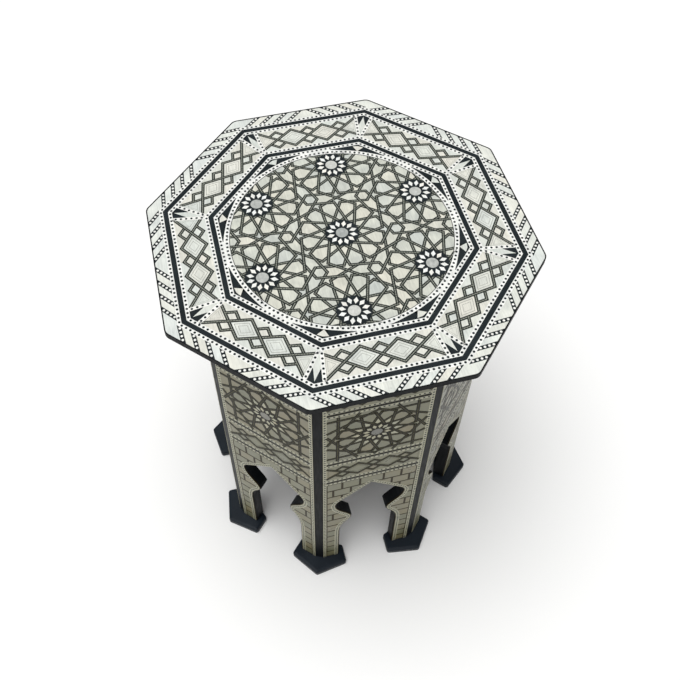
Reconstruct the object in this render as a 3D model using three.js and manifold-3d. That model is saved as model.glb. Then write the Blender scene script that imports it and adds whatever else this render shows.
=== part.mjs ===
// Octagonal kursi stool with a star marquetry top
// Millimetres, +Z up, floor at Z = 0, centre of the octagon on the Z axis

import * as THREE from 'three';
import { mergeVertices } from 'three/addons/utils/BufferGeometryUtils.js';
import Module from 'manifold-3d';

const wasm = await Module();
wasm.setup();

// Overall sizes
const sideCount = 8;
const overallHeight = 450;
const topAcrossFlats = 346;
const topOverhang = 32.5;

// Clearances and overruns
const glueGap = 0.3;
const inlayJoint = 0.15;
const cutOverrun = 5;

// Top board and its edge
const topThickness = 9;
const topCornerRadius = 9;
const topCornerSteps = 4;
const topEdgeChamfer = 3;
const topRimWidth = 1;

// Marquetry of the top, from the rim to the centre, each width taken at the middle of a side
const inlayThickness = 1;
const borderWidth = 14.4;
const outerBandWidth = 4.6;
const lozengeBandWidth = 36;
const innerBandWidth = 4.6;
const spandrelWidth = 4.1;
const medallionRingWidth = 4.4;
const circleSteps = 30;

// Strapwork and rosettes of the medallion: twelve-rayed stars on a triangular grid
const starSpacing = 88.2;
const starRays = 12;
const strapThickness = 0.5;
const strapWidth = 3;
const strapLean = THREE.MathUtils.degToRad(21);
const strapBendOffset = 2.8;
const strapRimWidth = 0.6;
const rosetteTipRadius = 14;
const rosetteValleyRadius = 9.3;

// Side panels with their arches
const panelThickness = 12;
const panelInlayThickness = 1;
const legFaceWidth = 19.2;
const archEdgeLine = 0.8;
const archNoseProjection = 13.6;
const archNotchDepth = 5;
const archShoulderInset = 0.9;
const archSpringHeight = 86;
const archOgeeRise = 39;
const archScoopRise = 36;
const archShoulderRise = 12.6;
const archGableRise = 31.4;
const archCurveSteps = 6;
const ogeeShares = { lower: 0.65, upper: 0.3 };
const scoopShares = { lower: 0.24, upper: 0.42 };
const shoulderShare = 0.6;

// Corner posts
const postWidth = 10;
const postDepth = 12;
const postArrisRadius = 1;
const postArrisSteps = 2;

// Feet
const footThickness = 9;
const footTipOverhang = 20;
const footArmOverhang = 11;
const footArmReach = 7;
const footPlanRadius = 3.5;
const footPlanSteps = 3;
const footArrisRadius = 3;
const footArrisSteps = 2;

// Hidden frame under the top and the glue blocks in the corners
const frameThickness = 15;
const frameWidth = 30;
const blockArm = 22;
const blockBottomHeight = 250;

// Places worked out from the sizes above
const turn = (2 * Math.PI) / sideCount;
const halfTurn = turn / 2;
const tanHalf = Math.tan(halfTurn);
const cosHalf = Math.cos(halfTurn);
const sinHalf = Math.sin(halfTurn);
const topReach = topAcrossFlats / 2;
const faceReach = topReach - topOverhang;
const borderReach = topReach - topRimWidth;
const outerBandReach = borderReach - borderWidth;
const lozengeBandReach = outerBandReach - outerBandWidth;
const innerBandReach = lozengeBandReach - lozengeBandWidth;
const spandrelReach = innerBandReach - innerBandWidth;
const medallionRingRadius = spandrelReach - spandrelWidth;
const medallionFieldRadius = medallionRingRadius - medallionRingWidth;
const undersideHeight = overallHeight - topThickness;
const inlayFloorHeight = overallHeight - inlayThickness;
const fieldRadius = medallionFieldRadius - inlayJoint;
const fieldThickness = inlayThickness - strapThickness;
const strapworkHeight = inlayFloorHeight + fieldThickness;
const starGridTurn = halfTurn;
const rayStep = (2 * Math.PI) / starRays;
const starFootRadius = (starSpacing / 2) * Math.cos(rayStep);
const strapBend = {
  radius: Math.hypot(starFootRadius, strapBendOffset),
  angle: Math.atan2(strapBendOffset, starFootRadius),
};
const valleyRadius = starFootRadius / Math.cos(rayStep / 2);
const knotDistance = starSpacing / Math.sqrt(3);
const knotRadius = knotDistance - starSpacing / 2;
const panelOuterReach = faceReach - panelInlayThickness - glueGap;
const panelInnerReach = panelOuterReach - panelThickness;
const faceCornerReach = faceReach / cosHalf;
const postFaceReach = (faceReach - (postWidth / 2) * sinHalf) / cosHalf;
const panelHeight = undersideHeight - footThickness;
const archJambHalfWidth = halfWidthAt(faceReach) - legFaceWidth;
const archNoseHeight = archSpringHeight + archOgeeRise;
const archNotchHeight = archNoseHeight + archScoopRise;
const archShoulderHeight = archNotchHeight + archShoulderRise;
const archApexHeight = archShoulderHeight + archGableRise;

// Finishes
const finish = (color, roughness, metalness = 0) => ({ color, roughness, metalness });
const finishes = {
  lacqueredBlack: finish(0x17191d, 0.35),
  ebony: finish(0x1c2024, 0.45),
  pearl: finish(0xdfe0d6, 0.3),
  pearlBorder: finish(0xeceadd, 0.32),
  stainedWood: finish(0x3a332c, 0.7),
  bareWood: finish(0xa98862, 0.75),
};

// Solids and meshes

function toSolid(geometry) {
  const bare = geometry.clone();
  bare.deleteAttribute('normal');
  bare.deleteAttribute('uv');
  const merged = mergeVertices(bare);
  const vertProperties = new Float32Array(merged.attributes.position.array);
  const triVerts = new Uint32Array(merged.index.array);
  return new wasm.Manifold(new wasm.Mesh({ numProp: 3, vertProperties, triVerts }));
}

function toGeometry(solid) {
  const { vertProperties, triVerts } = solid.getMesh();
  const geometry = new THREE.BufferGeometry();
  geometry.setAttribute('position', new THREE.BufferAttribute(vertProperties, 3));
  geometry.setIndex(new THREE.BufferAttribute(triVerts, 1));
  geometry.computeVertexNormals();
  return geometry;
}

function piece(name, geometry, finishName) {
  const mesh = new THREE.Mesh(geometry, new THREE.MeshStandardMaterial(finishes[finishName]));
  mesh.name = name;
  return mesh;
}

function plate(shape, bottom, thickness, curveSegments = archCurveSteps) {
  const geometry = new THREE.ExtrudeGeometry(shape, {
    depth: thickness,
    bevelEnabled: false,
    curveSegments,
  });
  return geometry.translate(0, 0, bottom);
}

// A plate with one arris worked all round: rounded with several steps, chamfered with one
function edgedPlate(shape, thickness, edge, edgeSteps, curveSegments) {
  const geometry = new THREE.ExtrudeGeometry(shape, {
    depth: thickness,
    bevelEnabled: true,
    bevelThickness: edge,
    bevelSize: edge,
    bevelOffset: -edge,
    bevelSegments: edgeSteps,
    curveSegments,
  });
  geometry.computeBoundingBox();
  const { min, max } = geometry.boundingBox;
  const spare = new THREE.BoxGeometry(
    max.x - min.x + cutOverrun,
    max.y - min.y + cutOverrun,
    edge + cutOverrun,
  );
  spare.translate((min.x + max.x) / 2, (min.y + max.y) / 2, thickness - edge + (edge + cutOverrun) / 2);
  const worked = toSolid(geometry).subtract(toSolid(spare));
  return toGeometry(worked).translate(0, 0, edge);
}

// Outlines

function polygonPoints(reach) {
  return Array.from({ length: sideCount }, (_, k) => {
    const angle = k * turn + halfTurn;
    const radius = reach / cosHalf;
    return new THREE.Vector2(radius * Math.cos(angle), radius * Math.sin(angle));
  });
}

// An anticlockwise outline whose corners are arcs of one radius
function roundedShape(points, radius) {
  const shape = new THREE.Shape();
  points.forEach((corner, k) => {
    const before = points[(k + points.length - 1) % points.length];
    const after = points[(k + 1) % points.length];
    const towards = before.clone().sub(corner).normalize();
    const away = after.clone().sub(corner).normalize();
    const halfAngle = Math.acos(towards.dot(away)) / 2;
    const inward = towards.clone().add(away).normalize();
    const centre = corner.clone().addScaledVector(inward, radius / Math.sin(halfAngle));
    const sweep = Math.PI / 2 - halfAngle;
    const middle = Math.atan2(-inward.y, -inward.x);
    shape.absarc(centre.x, centre.y, radius, middle - sweep, middle + sweep, false);
  });
  shape.closePath();
  return shape;
}

function octagonShape(reach) {
  return new THREE.Shape(polygonPoints(reach));
}

function octagonRing(outerReach, innerReach) {
  const shape = octagonShape(outerReach);
  shape.holes.push(new THREE.Path(polygonPoints(innerReach)));
  return shape;
}

function circlePath(radius, PathClass = THREE.Path) {
  const path = new PathClass();
  path.absarc(0, 0, radius, 0, 2 * Math.PI, false);
  return path;
}

function hoop(outerRadius, innerRadius) {
  const shape = circlePath(outerRadius, THREE.Shape);
  shape.holes.push(circlePath(innerRadius));
  return shape;
}

// Half the width of a panel layer at a distance from the centre, clear of the post beside it
function halfWidthAt(reach) {
  return reach * tanHalf - (postWidth / 2 + glueGap) / cosHalf;
}

// The opening of a side: straight jambs, an ogee up to the nose, a round notch and a gable
function archShape(margin) {
  const jamb = archJambHalfWidth + margin;
  const nose = jamb - archNoseProjection;
  const notch = jamb + archNotchDepth;
  const shoulder = jamb - archShoulderInset;
  const apex = archApexHeight + margin;
  const foot = footThickness - cutOverrun;
  const ogeeStart = archSpringHeight + ogeeShares.lower * archOgeeRise;
  const ogeeEnd = archNoseHeight - ogeeShares.upper * archOgeeRise;
  const scoopStart = archNoseHeight + scoopShares.lower * archScoopRise;
  const scoopEnd = archNotchHeight - scoopShares.upper * archScoopRise;
  const turnHeight = archNotchHeight + shoulderShare * archShoulderRise;
  const shape = new THREE.Shape();
  shape.moveTo(jamb, foot);
  shape.lineTo(jamb, archSpringHeight);
  shape.bezierCurveTo(jamb, ogeeStart, nose, ogeeEnd, nose, archNoseHeight);
  shape.bezierCurveTo(nose, scoopStart, notch, scoopEnd, notch, archNotchHeight);
  shape.quadraticCurveTo(notch, turnHeight, shoulder, archShoulderHeight);
  shape.lineTo(0, apex);
  shape.lineTo(-shoulder, archShoulderHeight);
  shape.quadraticCurveTo(-notch, turnHeight, -notch, archNotchHeight);
  shape.bezierCurveTo(-notch, scoopEnd, -nose, scoopStart, -nose, archNoseHeight);
  shape.bezierCurveTo(-nose, ogeeEnd, -jamb, ogeeStart, -jamb, archSpringHeight);
  shape.lineTo(-jamb, foot);
  shape.closePath();
  return shape;
}

// Top board: black edge, lower arris chamfered, shallow bed for the marquetry

function topBoard() {
  const outline = roundedShape(polygonPoints(topReach), topCornerRadius);
  const blank = edgedPlate(outline, topThickness, topEdgeChamfer, 1, topCornerSteps);
  const bedOutline = roundedShape(polygonPoints(borderReach), topCornerRadius - topRimWidth);
  const bedFloor = topThickness - inlayThickness;
  const bed = plate(bedOutline, bedFloor, inlayThickness + cutOverrun, topCornerSteps);
  const board = toGeometry(toSolid(blank).subtract(toSolid(bed)));
  return piece('top_board', board.translate(0, 0, undersideHeight), 'lacqueredBlack');
}

function inlay(name, shape, finishName, curveSegments) {
  return piece(name, plate(shape, inlayFloorHeight, inlayThickness, curveSegments), finishName);
}

// Marquetry of the top, from the edge to the centre
function topMarquetry() {
  const borderCorner = topCornerRadius - topRimWidth - inlayJoint;
  const border = roundedShape(polygonPoints(borderReach - inlayJoint), borderCorner);
  border.holes.push(new THREE.Path(polygonPoints(outerBandReach + inlayJoint)));
  const lozengeBand = octagonRing(lozengeBandReach - inlayJoint, innerBandReach + inlayJoint);
  const spandrels = octagonShape(spandrelReach - inlayJoint);
  spandrels.holes.push(circlePath(medallionRingRadius + inlayJoint));
  const field = plate(circlePath(fieldRadius, THREE.Shape), inlayFloorHeight, fieldThickness, circleSteps);
  return [
    inlay('top_border_inlay', border, 'pearlBorder', topCornerSteps),
    inlay('top_outer_band', octagonRing(outerBandReach, lozengeBandReach), 'ebony'),
    inlay('top_lozenge_inlay', lozengeBand, 'pearl'),
    inlay('top_inner_band', octagonRing(innerBandReach, spandrelReach), 'ebony'),
    inlay('top_spandrel_inlay', spandrels, 'ebony', circleSteps),
    inlay('top_medallion_ring', hoop(medallionRingRadius, medallionFieldRadius), 'pearlBorder', circleSteps),
    piece('top_medallion_field', field, 'pearl'),
  ];
}

// Strapwork of the medallion: straps leave each rosette in pairs, cross on a ray, bend at its
// foot and run square to it, as far as the next star or round the knot between three stars

function polar(radius, angle) {
  return new THREE.Vector2(radius * Math.cos(angle), radius * Math.sin(angle));
}

// Where a strap that belongs to a ray crosses another one inside its star, at an angle from it
function innerCrossing(angle) {
  const lean = Math.tan(strapLean);
  return (starFootRadius * lean - strapBendOffset) / (Math.sin(angle) + lean * Math.cos(angle));
}

// Middles of the stars whose straps reach into the medallion
function starMiddles() {
  const reach = fieldRadius + starSpacing;
  const rowRise = Math.sin(Math.PI / 3);
  const rows = Math.ceil(reach / (starSpacing * rowRise));
  const middles = [];
  for (let row = -rows; row <= rows; row += 1) {
    for (let step = -2 * rows; step <= 2 * rows; step += 1) {
      const middle = new THREE.Vector2(step + row / 2, row * rowRise).multiplyScalar(starSpacing);
      middle.rotateAround(new THREE.Vector2(), starGridTurn);
      if (middle.length() < reach) middles.push(middle);
    }
  }
  return middles;
}

// The three cells that stand on a ray, with their corners on the straps' centre lines: the
// kite next to the rosette, the petal between this ray and the next, and the dart at its foot
function rayCells(angle) {
  const half = rayStep / 2;
  const next = angle + rayStep;
  const cross = (ray) => polar(innerCrossing(0), ray);
  const bend = (ray, hand) => polar(strapBend.radius, ray + hand * strapBend.angle);
  const tip = (hand) => polar(innerCrossing(half), angle + hand * half);
  const valley = (hand) => polar(valleyRadius, angle + hand * half);
  const root = polar(innerCrossing(rayStep), angle);
  const head = polar(starSpacing / 2, angle);
  const kite = [cross(angle), tip(1), root, tip(-1)];
  const petal = [tip(1), cross(angle), bend(angle, 1), valley(1), bend(next, -1), cross(next)];
  const dart = [cross(angle), bend(angle, -1), valley(-1), head, valley(1), bend(angle, 1)];
  return [kite, petal, dart];
}

// The shield beside the line to a neighbouring star, on one hand of that line
function shieldCell(angle, hand) {
  const half = hand * rayStep / 2;
  const knot = polar(knotDistance, angle + hand * rayStep);
  const neighbour = polar(starSpacing, angle);
  return [
    polar(valleyRadius, angle + half),
    polar(starSpacing / 2, angle),
    polar(valleyRadius, angle + Math.PI - half).add(neighbour),
    polar(starSpacing / 2, angle + Math.PI - hand * rayStep).add(neighbour),
    polar(knotRadius, angle - hand * Math.PI / 2).add(knot),
    polar(starSpacing / 2, angle + hand * rayStep),
  ];
}

// The knot's six-cornered cell between three stars
function knotCell(angle) {
  const knot = polar(knotDistance, angle);
  return Array.from({ length: 6 }, (_, k) => polar(knotRadius, angle + k * Math.PI / 3).add(knot));
}

// Every cell of one star; those shared with neighbours are given to one star each
function starCells() {
  const cells = [];
  for (let ray = 0; ray < starRays; ray += 1) {
    cells.push(...rayCells(starGridTurn + ray * rayStep));
  }
  for (let edge = 0; edge < 3; edge += 1) {
    const angle = starGridTurn + 2 * edge * rayStep;
    cells.push(shieldCell(angle, 1), shieldCell(angle, -1));
  }
  cells.push(knotCell(starGridTurn + rayStep), knotCell(starGridTurn + 3 * rayStep));
  return cells;
}

// The outline moved inwards by a distance, each corner along its own mitre
function drawnIn(points, distance) {
  const outline = THREE.ShapeUtils.isClockWise(points) ? points.toReversed() : points;
  return outline.map((corner, k) => {
    const before = outline[(k + outline.length - 1) % outline.length];
    const after = outline[(k + 1) % outline.length];
    const inward = (from, to) => {
      const along = to.clone().sub(from).normalize();
      return new THREE.Vector2(-along.y, along.x);
    };
    const first = inward(before, corner);
    const second = inward(corner, after);
    const mitre = first.clone().add(second).divideScalar(1 + first.dot(second));
    return mitre.multiplyScalar(distance).add(corner);
  });
}

// Star-shaped shell of a rosette: a tip between every two rays
function rosetteShape(margin) {
  return new THREE.Shape(Array.from({ length: 2 * starRays }, (_, k) => (
    polar((k % 2 === 0 ? rosetteValleyRadius : rosetteTipRadius) + margin, starGridTurn + (k * rayStep) / 2)
  )));
}

function rosetteMiddles() {
  return starMiddles().filter((middle) => middle.length() + rosetteTipRadius < medallionFieldRadius);
}

// One pierced sheet of straps with a rim, and a bed for each rosette's shell
function strapwork() {
  const cutHeight = strapThickness + 2 * cutOverrun;
  const cutter = (shape, middle) => (
    toSolid(plate(shape, -cutOverrun, cutHeight, circleSteps).translate(middle.x, middle.y, 0))
  );
  const cells = starCells().map((cell) => new THREE.Shape(drawnIn(cell, strapWidth / 2)));
  const openings = starMiddles().flatMap((middle) => cells.map((cell) => cutter(cell, middle)));
  const clear = cutter(circlePath(fieldRadius - strapRimWidth, THREE.Shape), new THREE.Vector2());
  const beds = rosetteMiddles().map((middle) => cutter(rosetteShape(inlayJoint), middle));
  const blank = toSolid(plate(circlePath(fieldRadius, THREE.Shape), 0, strapThickness, circleSteps));
  const sheet = blank
    .subtract(wasm.Manifold.union(openings).intersect(clear))
    .subtract(wasm.Manifold.union(beds));
  const lattice = toGeometry(sheet).translate(0, 0, strapworkHeight);
  return piece('top_strapwork', lattice, 'ebony');
}

function rosettes() {
  return rosetteMiddles().map((middle, k) => {
    const shell = plate(rosetteShape(0), strapworkHeight, strapThickness);
    return piece(`medallion_rosette_${k + 1}`, shell.translate(middle.x, middle.y, 0), 'pearlBorder');
  });
}

// Sides: a mitred board and the marquetry glued on its face, both cut by the same arch

const sideways = new THREE.Matrix4().makeBasis(
  new THREE.Vector3(0, 1, 0),
  new THREE.Vector3(0, 0, 1),
  new THREE.Vector3(1, 0, 0),
);

function panelLayer(innerReach, outerReach, archMargin) {
  const section = new THREE.Shape([
    new THREE.Vector2(innerReach, -halfWidthAt(innerReach)),
    new THREE.Vector2(outerReach, -halfWidthAt(outerReach)),
    new THREE.Vector2(outerReach, halfWidthAt(outerReach)),
    new THREE.Vector2(innerReach, halfWidthAt(innerReach)),
  ]);
  const board = plate(section, footThickness, panelHeight);
  const depth = outerReach - innerReach + 2 * cutOverrun;
  const cutter = plate(archShape(archMargin), innerReach - cutOverrun, depth);
  cutter.applyMatrix4(sideways);
  return toGeometry(toSolid(board).subtract(toSolid(cutter)));
}

function sidePanel(number) {
  return piece(`side_panel_${number}`, panelLayer(panelInnerReach, panelOuterReach, 0), 'stainedWood');
}

function panelInlay(number) {
  const inside = faceReach - panelInlayThickness;
  return piece(`panel_inlay_${number}`, panelLayer(inside, faceReach, archEdgeLine), 'pearl');
}

// Corners: the post, the foot under it and the glue block behind it

function cornerPost(number) {
  const backReach = postFaceReach - postDepth;
  const outline = roundedShape([
    new THREE.Vector2(backReach, -postWidth / 2),
    new THREE.Vector2(postFaceReach, -postWidth / 2),
    new THREE.Vector2(postFaceReach, postWidth / 2),
    new THREE.Vector2(backReach, postWidth / 2),
  ], postArrisRadius);
  const geometry = plate(outline, footThickness, panelHeight, postArrisSteps);
  return piece(`corner_post_${number}`, geometry, 'lacqueredBlack');
}

// A point beside a corner: along the panel's face from the sharp corner, and out from that face
function besideCorner(along, out, side) {
  return new THREE.Vector2(
    faceCornerReach - along * sinHalf + out * cosHalf,
    side * (along * cosHalf + out * sinHalf),
  );
}

// A pentagon: two front edges that meet in a tip, two short ends, and a straight back
// behind the inner corners of the two legs
function footOutline() {
  const legWidth = faceReach * tanHalf - archJambHalfWidth;
  const legInnerCorner = besideCorner(legWidth, panelInnerReach - faceReach, 1);
  const armEnd = besideCorner(legWidth + footArmReach, footArmOverhang, 1);
  const endLength = (armEnd.x - legInnerCorner.x) / cosHalf;
  const back = besideCorner(legWidth + footArmReach, footArmOverhang - endLength, 1);
  return roundedShape([
    new THREE.Vector2(postFaceReach + footTipOverhang, 0),
    new THREE.Vector2(armEnd.x, armEnd.y),
    new THREE.Vector2(back.x, back.y),
    new THREE.Vector2(back.x, -back.y),
    new THREE.Vector2(armEnd.x, -armEnd.y),
  ], footPlanRadius);
}

function foot(number) {
  const upsideDown = edgedPlate(footOutline(), footThickness, footArrisRadius, footArrisSteps, footPlanSteps);
  upsideDown.rotateX(Math.PI);
  upsideDown.translate(0, 0, footThickness);
  return piece(`foot_${number}`, upsideDown, 'lacqueredBlack');
}

function cornerBlock(number) {
  const clearReach = panelInnerReach - glueGap;
  const nose = postWidth / 2;
  const noseReach = (clearReach - nose * sinHalf) / cosHalf;
  const heel = nose + blockArm * cosHalf;
  const heelReach = noseReach - blockArm * sinHalf;
  const outline = new THREE.Shape([
    new THREE.Vector2(heelReach, -heel),
    new THREE.Vector2(noseReach, -nose),
    new THREE.Vector2(noseReach, nose),
    new THREE.Vector2(heelReach, heel),
  ]);
  const height = undersideHeight - frameThickness - blockBottomHeight;
  return piece(`corner_block_${number}`, plate(outline, blockBottomHeight, height), 'bareWood');
}

// Frame inside the head of the sides, which carries the top board
function topFrame() {
  const outerReach = panelInnerReach - glueGap;
  const ring = octagonRing(outerReach, outerReach - frameWidth);
  return piece('top_frame', plate(ring, undersideHeight - frameThickness, frameThickness), 'bareWood');
}

// Assembly

const stool = new THREE.Group();
stool.add(topBoard(), ...topMarquetry(), strapwork(), ...rosettes(), topFrame());

for (let k = 0; k < sideCount; k += 1) {
  const number = k + 1;
  const side = new THREE.Group();
  side.rotation.z = k * turn;
  side.add(sidePanel(number), panelInlay(number));
  const corner = new THREE.Group();
  corner.rotation.z = k * turn + halfTurn;
  corner.add(cornerPost(number), foot(number), cornerBlock(number));
  stool.add(side, corner);
}

export default stool;
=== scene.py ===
"""Looks of the octagonal stool: shell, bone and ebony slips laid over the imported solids."""

import logging
from dataclasses import dataclass
from enum import Enum

import bpy
import numpy as np
from mathutils import Matrix, Vector


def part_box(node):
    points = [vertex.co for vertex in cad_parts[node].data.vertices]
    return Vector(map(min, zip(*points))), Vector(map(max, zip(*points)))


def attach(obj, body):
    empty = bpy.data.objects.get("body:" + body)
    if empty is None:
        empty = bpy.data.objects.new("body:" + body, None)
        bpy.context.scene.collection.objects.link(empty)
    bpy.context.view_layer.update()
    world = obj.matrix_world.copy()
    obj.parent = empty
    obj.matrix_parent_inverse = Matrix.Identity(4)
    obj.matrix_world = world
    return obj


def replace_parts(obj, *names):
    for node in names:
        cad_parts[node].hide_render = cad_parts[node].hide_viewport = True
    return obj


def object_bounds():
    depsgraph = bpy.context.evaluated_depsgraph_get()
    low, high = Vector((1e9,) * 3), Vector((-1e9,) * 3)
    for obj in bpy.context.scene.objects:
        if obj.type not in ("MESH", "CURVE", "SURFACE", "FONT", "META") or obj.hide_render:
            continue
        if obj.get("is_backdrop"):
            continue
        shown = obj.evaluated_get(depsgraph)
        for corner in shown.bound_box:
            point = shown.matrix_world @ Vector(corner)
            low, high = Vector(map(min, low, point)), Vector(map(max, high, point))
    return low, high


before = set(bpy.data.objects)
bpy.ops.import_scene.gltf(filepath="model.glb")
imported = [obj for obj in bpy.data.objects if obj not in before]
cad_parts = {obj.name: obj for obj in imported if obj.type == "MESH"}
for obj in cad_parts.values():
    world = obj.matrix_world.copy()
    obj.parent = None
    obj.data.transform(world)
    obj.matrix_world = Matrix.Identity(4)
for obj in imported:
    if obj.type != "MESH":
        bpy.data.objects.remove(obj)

MM = 0.001
SIDES = 8
TURN = 2 * np.pi / SIDES
TAN_HALF = np.tan(TURN / 2)
COS_HALF = np.cos(TURN / 2)
BODY = "root"
SEED = 8
PLAIN_TONE = 0.5
BONE_TONE = 0.4
LEFT_RIGHT = np.array([-1.0, 1.0])
UPSIDE_DOWN = np.array([1.0, -1.0])
Socket = bpy.types.NodeSocket
log = logging.getLogger("kursi")


class Level(Enum):
    """Heights of the slips' faces over their bed, in metres."""

    GROUND = 0.00 * MM
    CELL = 0.04 * MM
    STRIP = 0.08 * MM
    DOT = 0.11 * MM
    STRAP = 0.12 * MM
    STRAP_LINE = 0.15 * MM
    OVER = 0.17 * MM
    OVER_LINE = 0.20 * MM
    DISC = 0.23 * MM
    PETAL = 0.27 * MM


TOP_DROP = Level.PETAL.value
SIDE_LIFT = 0.03 * MM
SLIP_ROOT = -0.4 * MM


def compass(angles: np.ndarray) -> np.ndarray:
    """Level unit vectors: cosine, sine and zero of each angle."""
    angles = np.asarray(angles, float)
    return np.stack([np.cos(angles), np.sin(angles), np.zeros_like(angles)], -1)


def polar(radius: np.ndarray, angles: np.ndarray) -> np.ndarray:
    """Flat points: radius times cosine and sine of each angle."""
    radius, angles = np.broadcast_arrays(np.asarray(radius, float), np.asarray(angles, float))
    return np.stack([radius * np.cos(angles), radius * np.sin(angles)], -1)


@dataclass(frozen=True)
class Bed:
    """Flat places of one kind: each has an origin and the axes across, up and out."""

    origins: np.ndarray
    axes: np.ndarray

    def place(self, outlines: np.ndarray, height: float) -> np.ndarray:
        """Point = origin + x across + y up + height out, for every outline on every place.

        Args:
            outlines: flat outlines, shape (n, k, 2).
            height: how far out of the bed they lie.

        Returns:
            Points of shape (places * n, k, 3), all of the first place first.
        """
        flat = np.concatenate([outlines, np.full(outlines.shape[:-1] + (1,), height)], -1)
        placed = np.einsum("nki,mij->mnkj", flat, self.axes) + self.origins[:, None, None]
        return placed.reshape(-1, outlines.shape[1], 3)


def top_bed(start: float = 0.0, copies: int = SIDES) -> Bed:
    """Beds on the top: up points away from the axis, and across is clockwise of it.

    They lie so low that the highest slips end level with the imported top.

    Args:
        start: direction of the first bed.
        copies: number of beds, each one side further round.

    Returns:
        The beds.
    """
    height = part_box("top_border_inlay")[1].z - TOP_DROP
    up = compass(start + TURN * np.arange(copies))
    out = np.broadcast_to([0.0, 0.0, 1.0], up.shape)
    return Bed(np.broadcast_to([0.0, 0.0, height], up.shape), np.stack([np.cross(up, out), up, out], 1))


def side_bed() -> Bed:
    """Beds on the eight sides: across runs along the side, up is the height above the floor.

    Returns:
        The beds, the one that faces +X first.
    """
    out = compass(TURN * np.arange(SIDES))
    up = np.broadcast_to([0.0, 0.0, 1.0], out.shape)
    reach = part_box("panel_inlay_1")[1].x + SIDE_LIFT
    return Bed(reach * out, np.stack([np.cross(up, out), up, out], 1))


def upright_box(reach: float, low: float, high: float) -> np.ndarray:
    """A rectangle from -reach to reach across and from low to high, shape (1, 4, 2)."""
    return np.array([[(-reach, low), (reach, low), (reach, high), (-reach, high)]])


def mitred_strip(inner: float, outer: float) -> np.ndarray:
    """One side of an octagonal strip: half-lengths are the reaches times tan(half turn)."""
    low, high = inner * TAN_HALF, outer * TAN_HALF
    return np.array([[[-low, inner], [low, inner], [high, outer], [-high, outer]]])


def slanted(across: tuple, low: float, high: float) -> np.ndarray:
    """Slips between two heights, whose corners lie low left, low right, high right and high left."""
    corners = zip(across, (low, low, high, high))
    return np.stack([np.stack([place, np.full_like(place, up)], -1) for place, up in corners], 1)


def dots(centres: np.ndarray, diameter: float, corners: int = 8) -> np.ndarray:
    """Round dots: centre plus the radius times cosine and sine at even angles."""
    angles = (np.arange(corners) + 0.5) * 2 * np.pi / corners
    return centres.reshape(-1, 1, 2) + polar(diameter / 2, angles)


def dots_along(path: np.ndarray, pitch: float) -> np.ndarray:
    """Places along a line: place n lies (n + 1/2) * length / count from its start.

    The count is the whole number nearest to length / pitch.

    Args:
        path: the line's points, shape (m, 2).
        pitch: wanted distance between places.

    Returns:
        Points of shape (count, 2).
    """
    run = np.concatenate([[0.0], np.cumsum(np.linalg.norm(np.diff(path, axis=0), axis=1))])
    count = max(1, round(run[-1] / pitch))
    stations = (np.arange(count) + 0.5) * run[-1] / count
    return np.stack([np.interp(stations, run, path[:, axis]) for axis in (0, 1)], -1)


def ribbons(paths: np.ndarray, width: float) -> np.ndarray:
    """Ribbons of even width along open paths, mitred where they bend.

    At a bend the edge moves by (n1 + n2) / (1 + n1.n2) times half the width, n1 and n2
    being the normals of the two stretches. The outline goes up the left edge and back
    down the right one.

    Args:
        paths: open paths, shape (n, m, 2).
        width: the ribbons' width.

    Returns:
        Outlines of shape (n, 2 m, 2).
    """
    steps = np.diff(paths, axis=1)
    steps = steps / np.linalg.norm(steps, axis=-1, keepdims=True)
    normals = np.stack([-steps[..., 1], steps[..., 0]], -1)
    before = np.concatenate([normals[:, :1], normals], 1)
    after = np.concatenate([normals, normals[:, -1:]], 1)
    mitre = (before + after) / (1 + np.sum(before * after, -1, keepdims=True))
    return np.concatenate([paths + width / 2 * mitre, (paths - width / 2 * mitre)[:, ::-1]], 1)


def dashes(paths: np.ndarray, width: float, length: float, pitch: float) -> np.ndarray:
    """Short bars in a row along every straight stretch of the paths.

    Bar n of a stretch stands at (n + 1/2) * run / count, where count is the whole number
    nearest to run / pitch. Shorter stretches use the first of the longest one's numbers.

    Args:
        paths: open paths, shape (n, m, 2).
        width: the bars' size across the path.
        length: their size along it.
        pitch: wanted distance between them.

    Returns:
        Outlines of shape (bars, 4, 2).
    """
    start = paths[:, :-1].reshape(-1, 2)
    step = paths[:, 1:].reshape(-1, 2) - start
    run = np.linalg.norm(step, axis=1, keepdims=True)
    along = (step / run)[:, None]
    across = np.stack([-along[..., 1], along[..., 0]], -1)
    count = np.maximum(1, np.round(run / pitch))
    number = np.arange(int(count.max()))
    middle = start[:, None] + ((number + 0.5) * run / count)[..., None] * along
    reach, half = length / 2 * along, width / 2 * across
    corners = [middle - reach - half, middle + reach - half, middle + reach + half, middle - reach + half]
    return np.stack(corners, 2)[number < count]


def rims(outlines: np.ndarray, outer_share: float, inner_share: float) -> np.ndarray:
    """Thin frames inside closed outlines, as one four-cornered slip for each edge.

    A corner lies at middle + share * (corner - middle), for the outer and the inner share.

    Args:
        outlines: closed outlines, shape (n, k, 2).
        outer_share: size of a frame's outside, as a share of the outline.
        inner_share: size of its inside.

    Returns:
        Outlines of shape (n * k, 4, 2).
    """
    middle = outlines.mean(1, keepdims=True)
    outer, inner = (middle + share * (outlines - middle) for share in (outer_share, inner_share))
    turned = [outer, np.roll(outer, -1, 1), np.roll(inner, -1, 1), inner]
    return np.stack(turned, 2).reshape(-1, 4, 2)


def mirrored(outlines: np.ndarray) -> np.ndarray:
    """The outlines and their mirror images across the up axis."""
    return np.concatenate([outlines, outlines * LEFT_RIGHT])


def repeated(outlines: np.ndarray, places: np.ndarray) -> np.ndarray:
    """The outlines moved to each place in turn."""
    return (places[:, None, None] + outlines).reshape(-1, *outlines.shape[1:])


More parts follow.
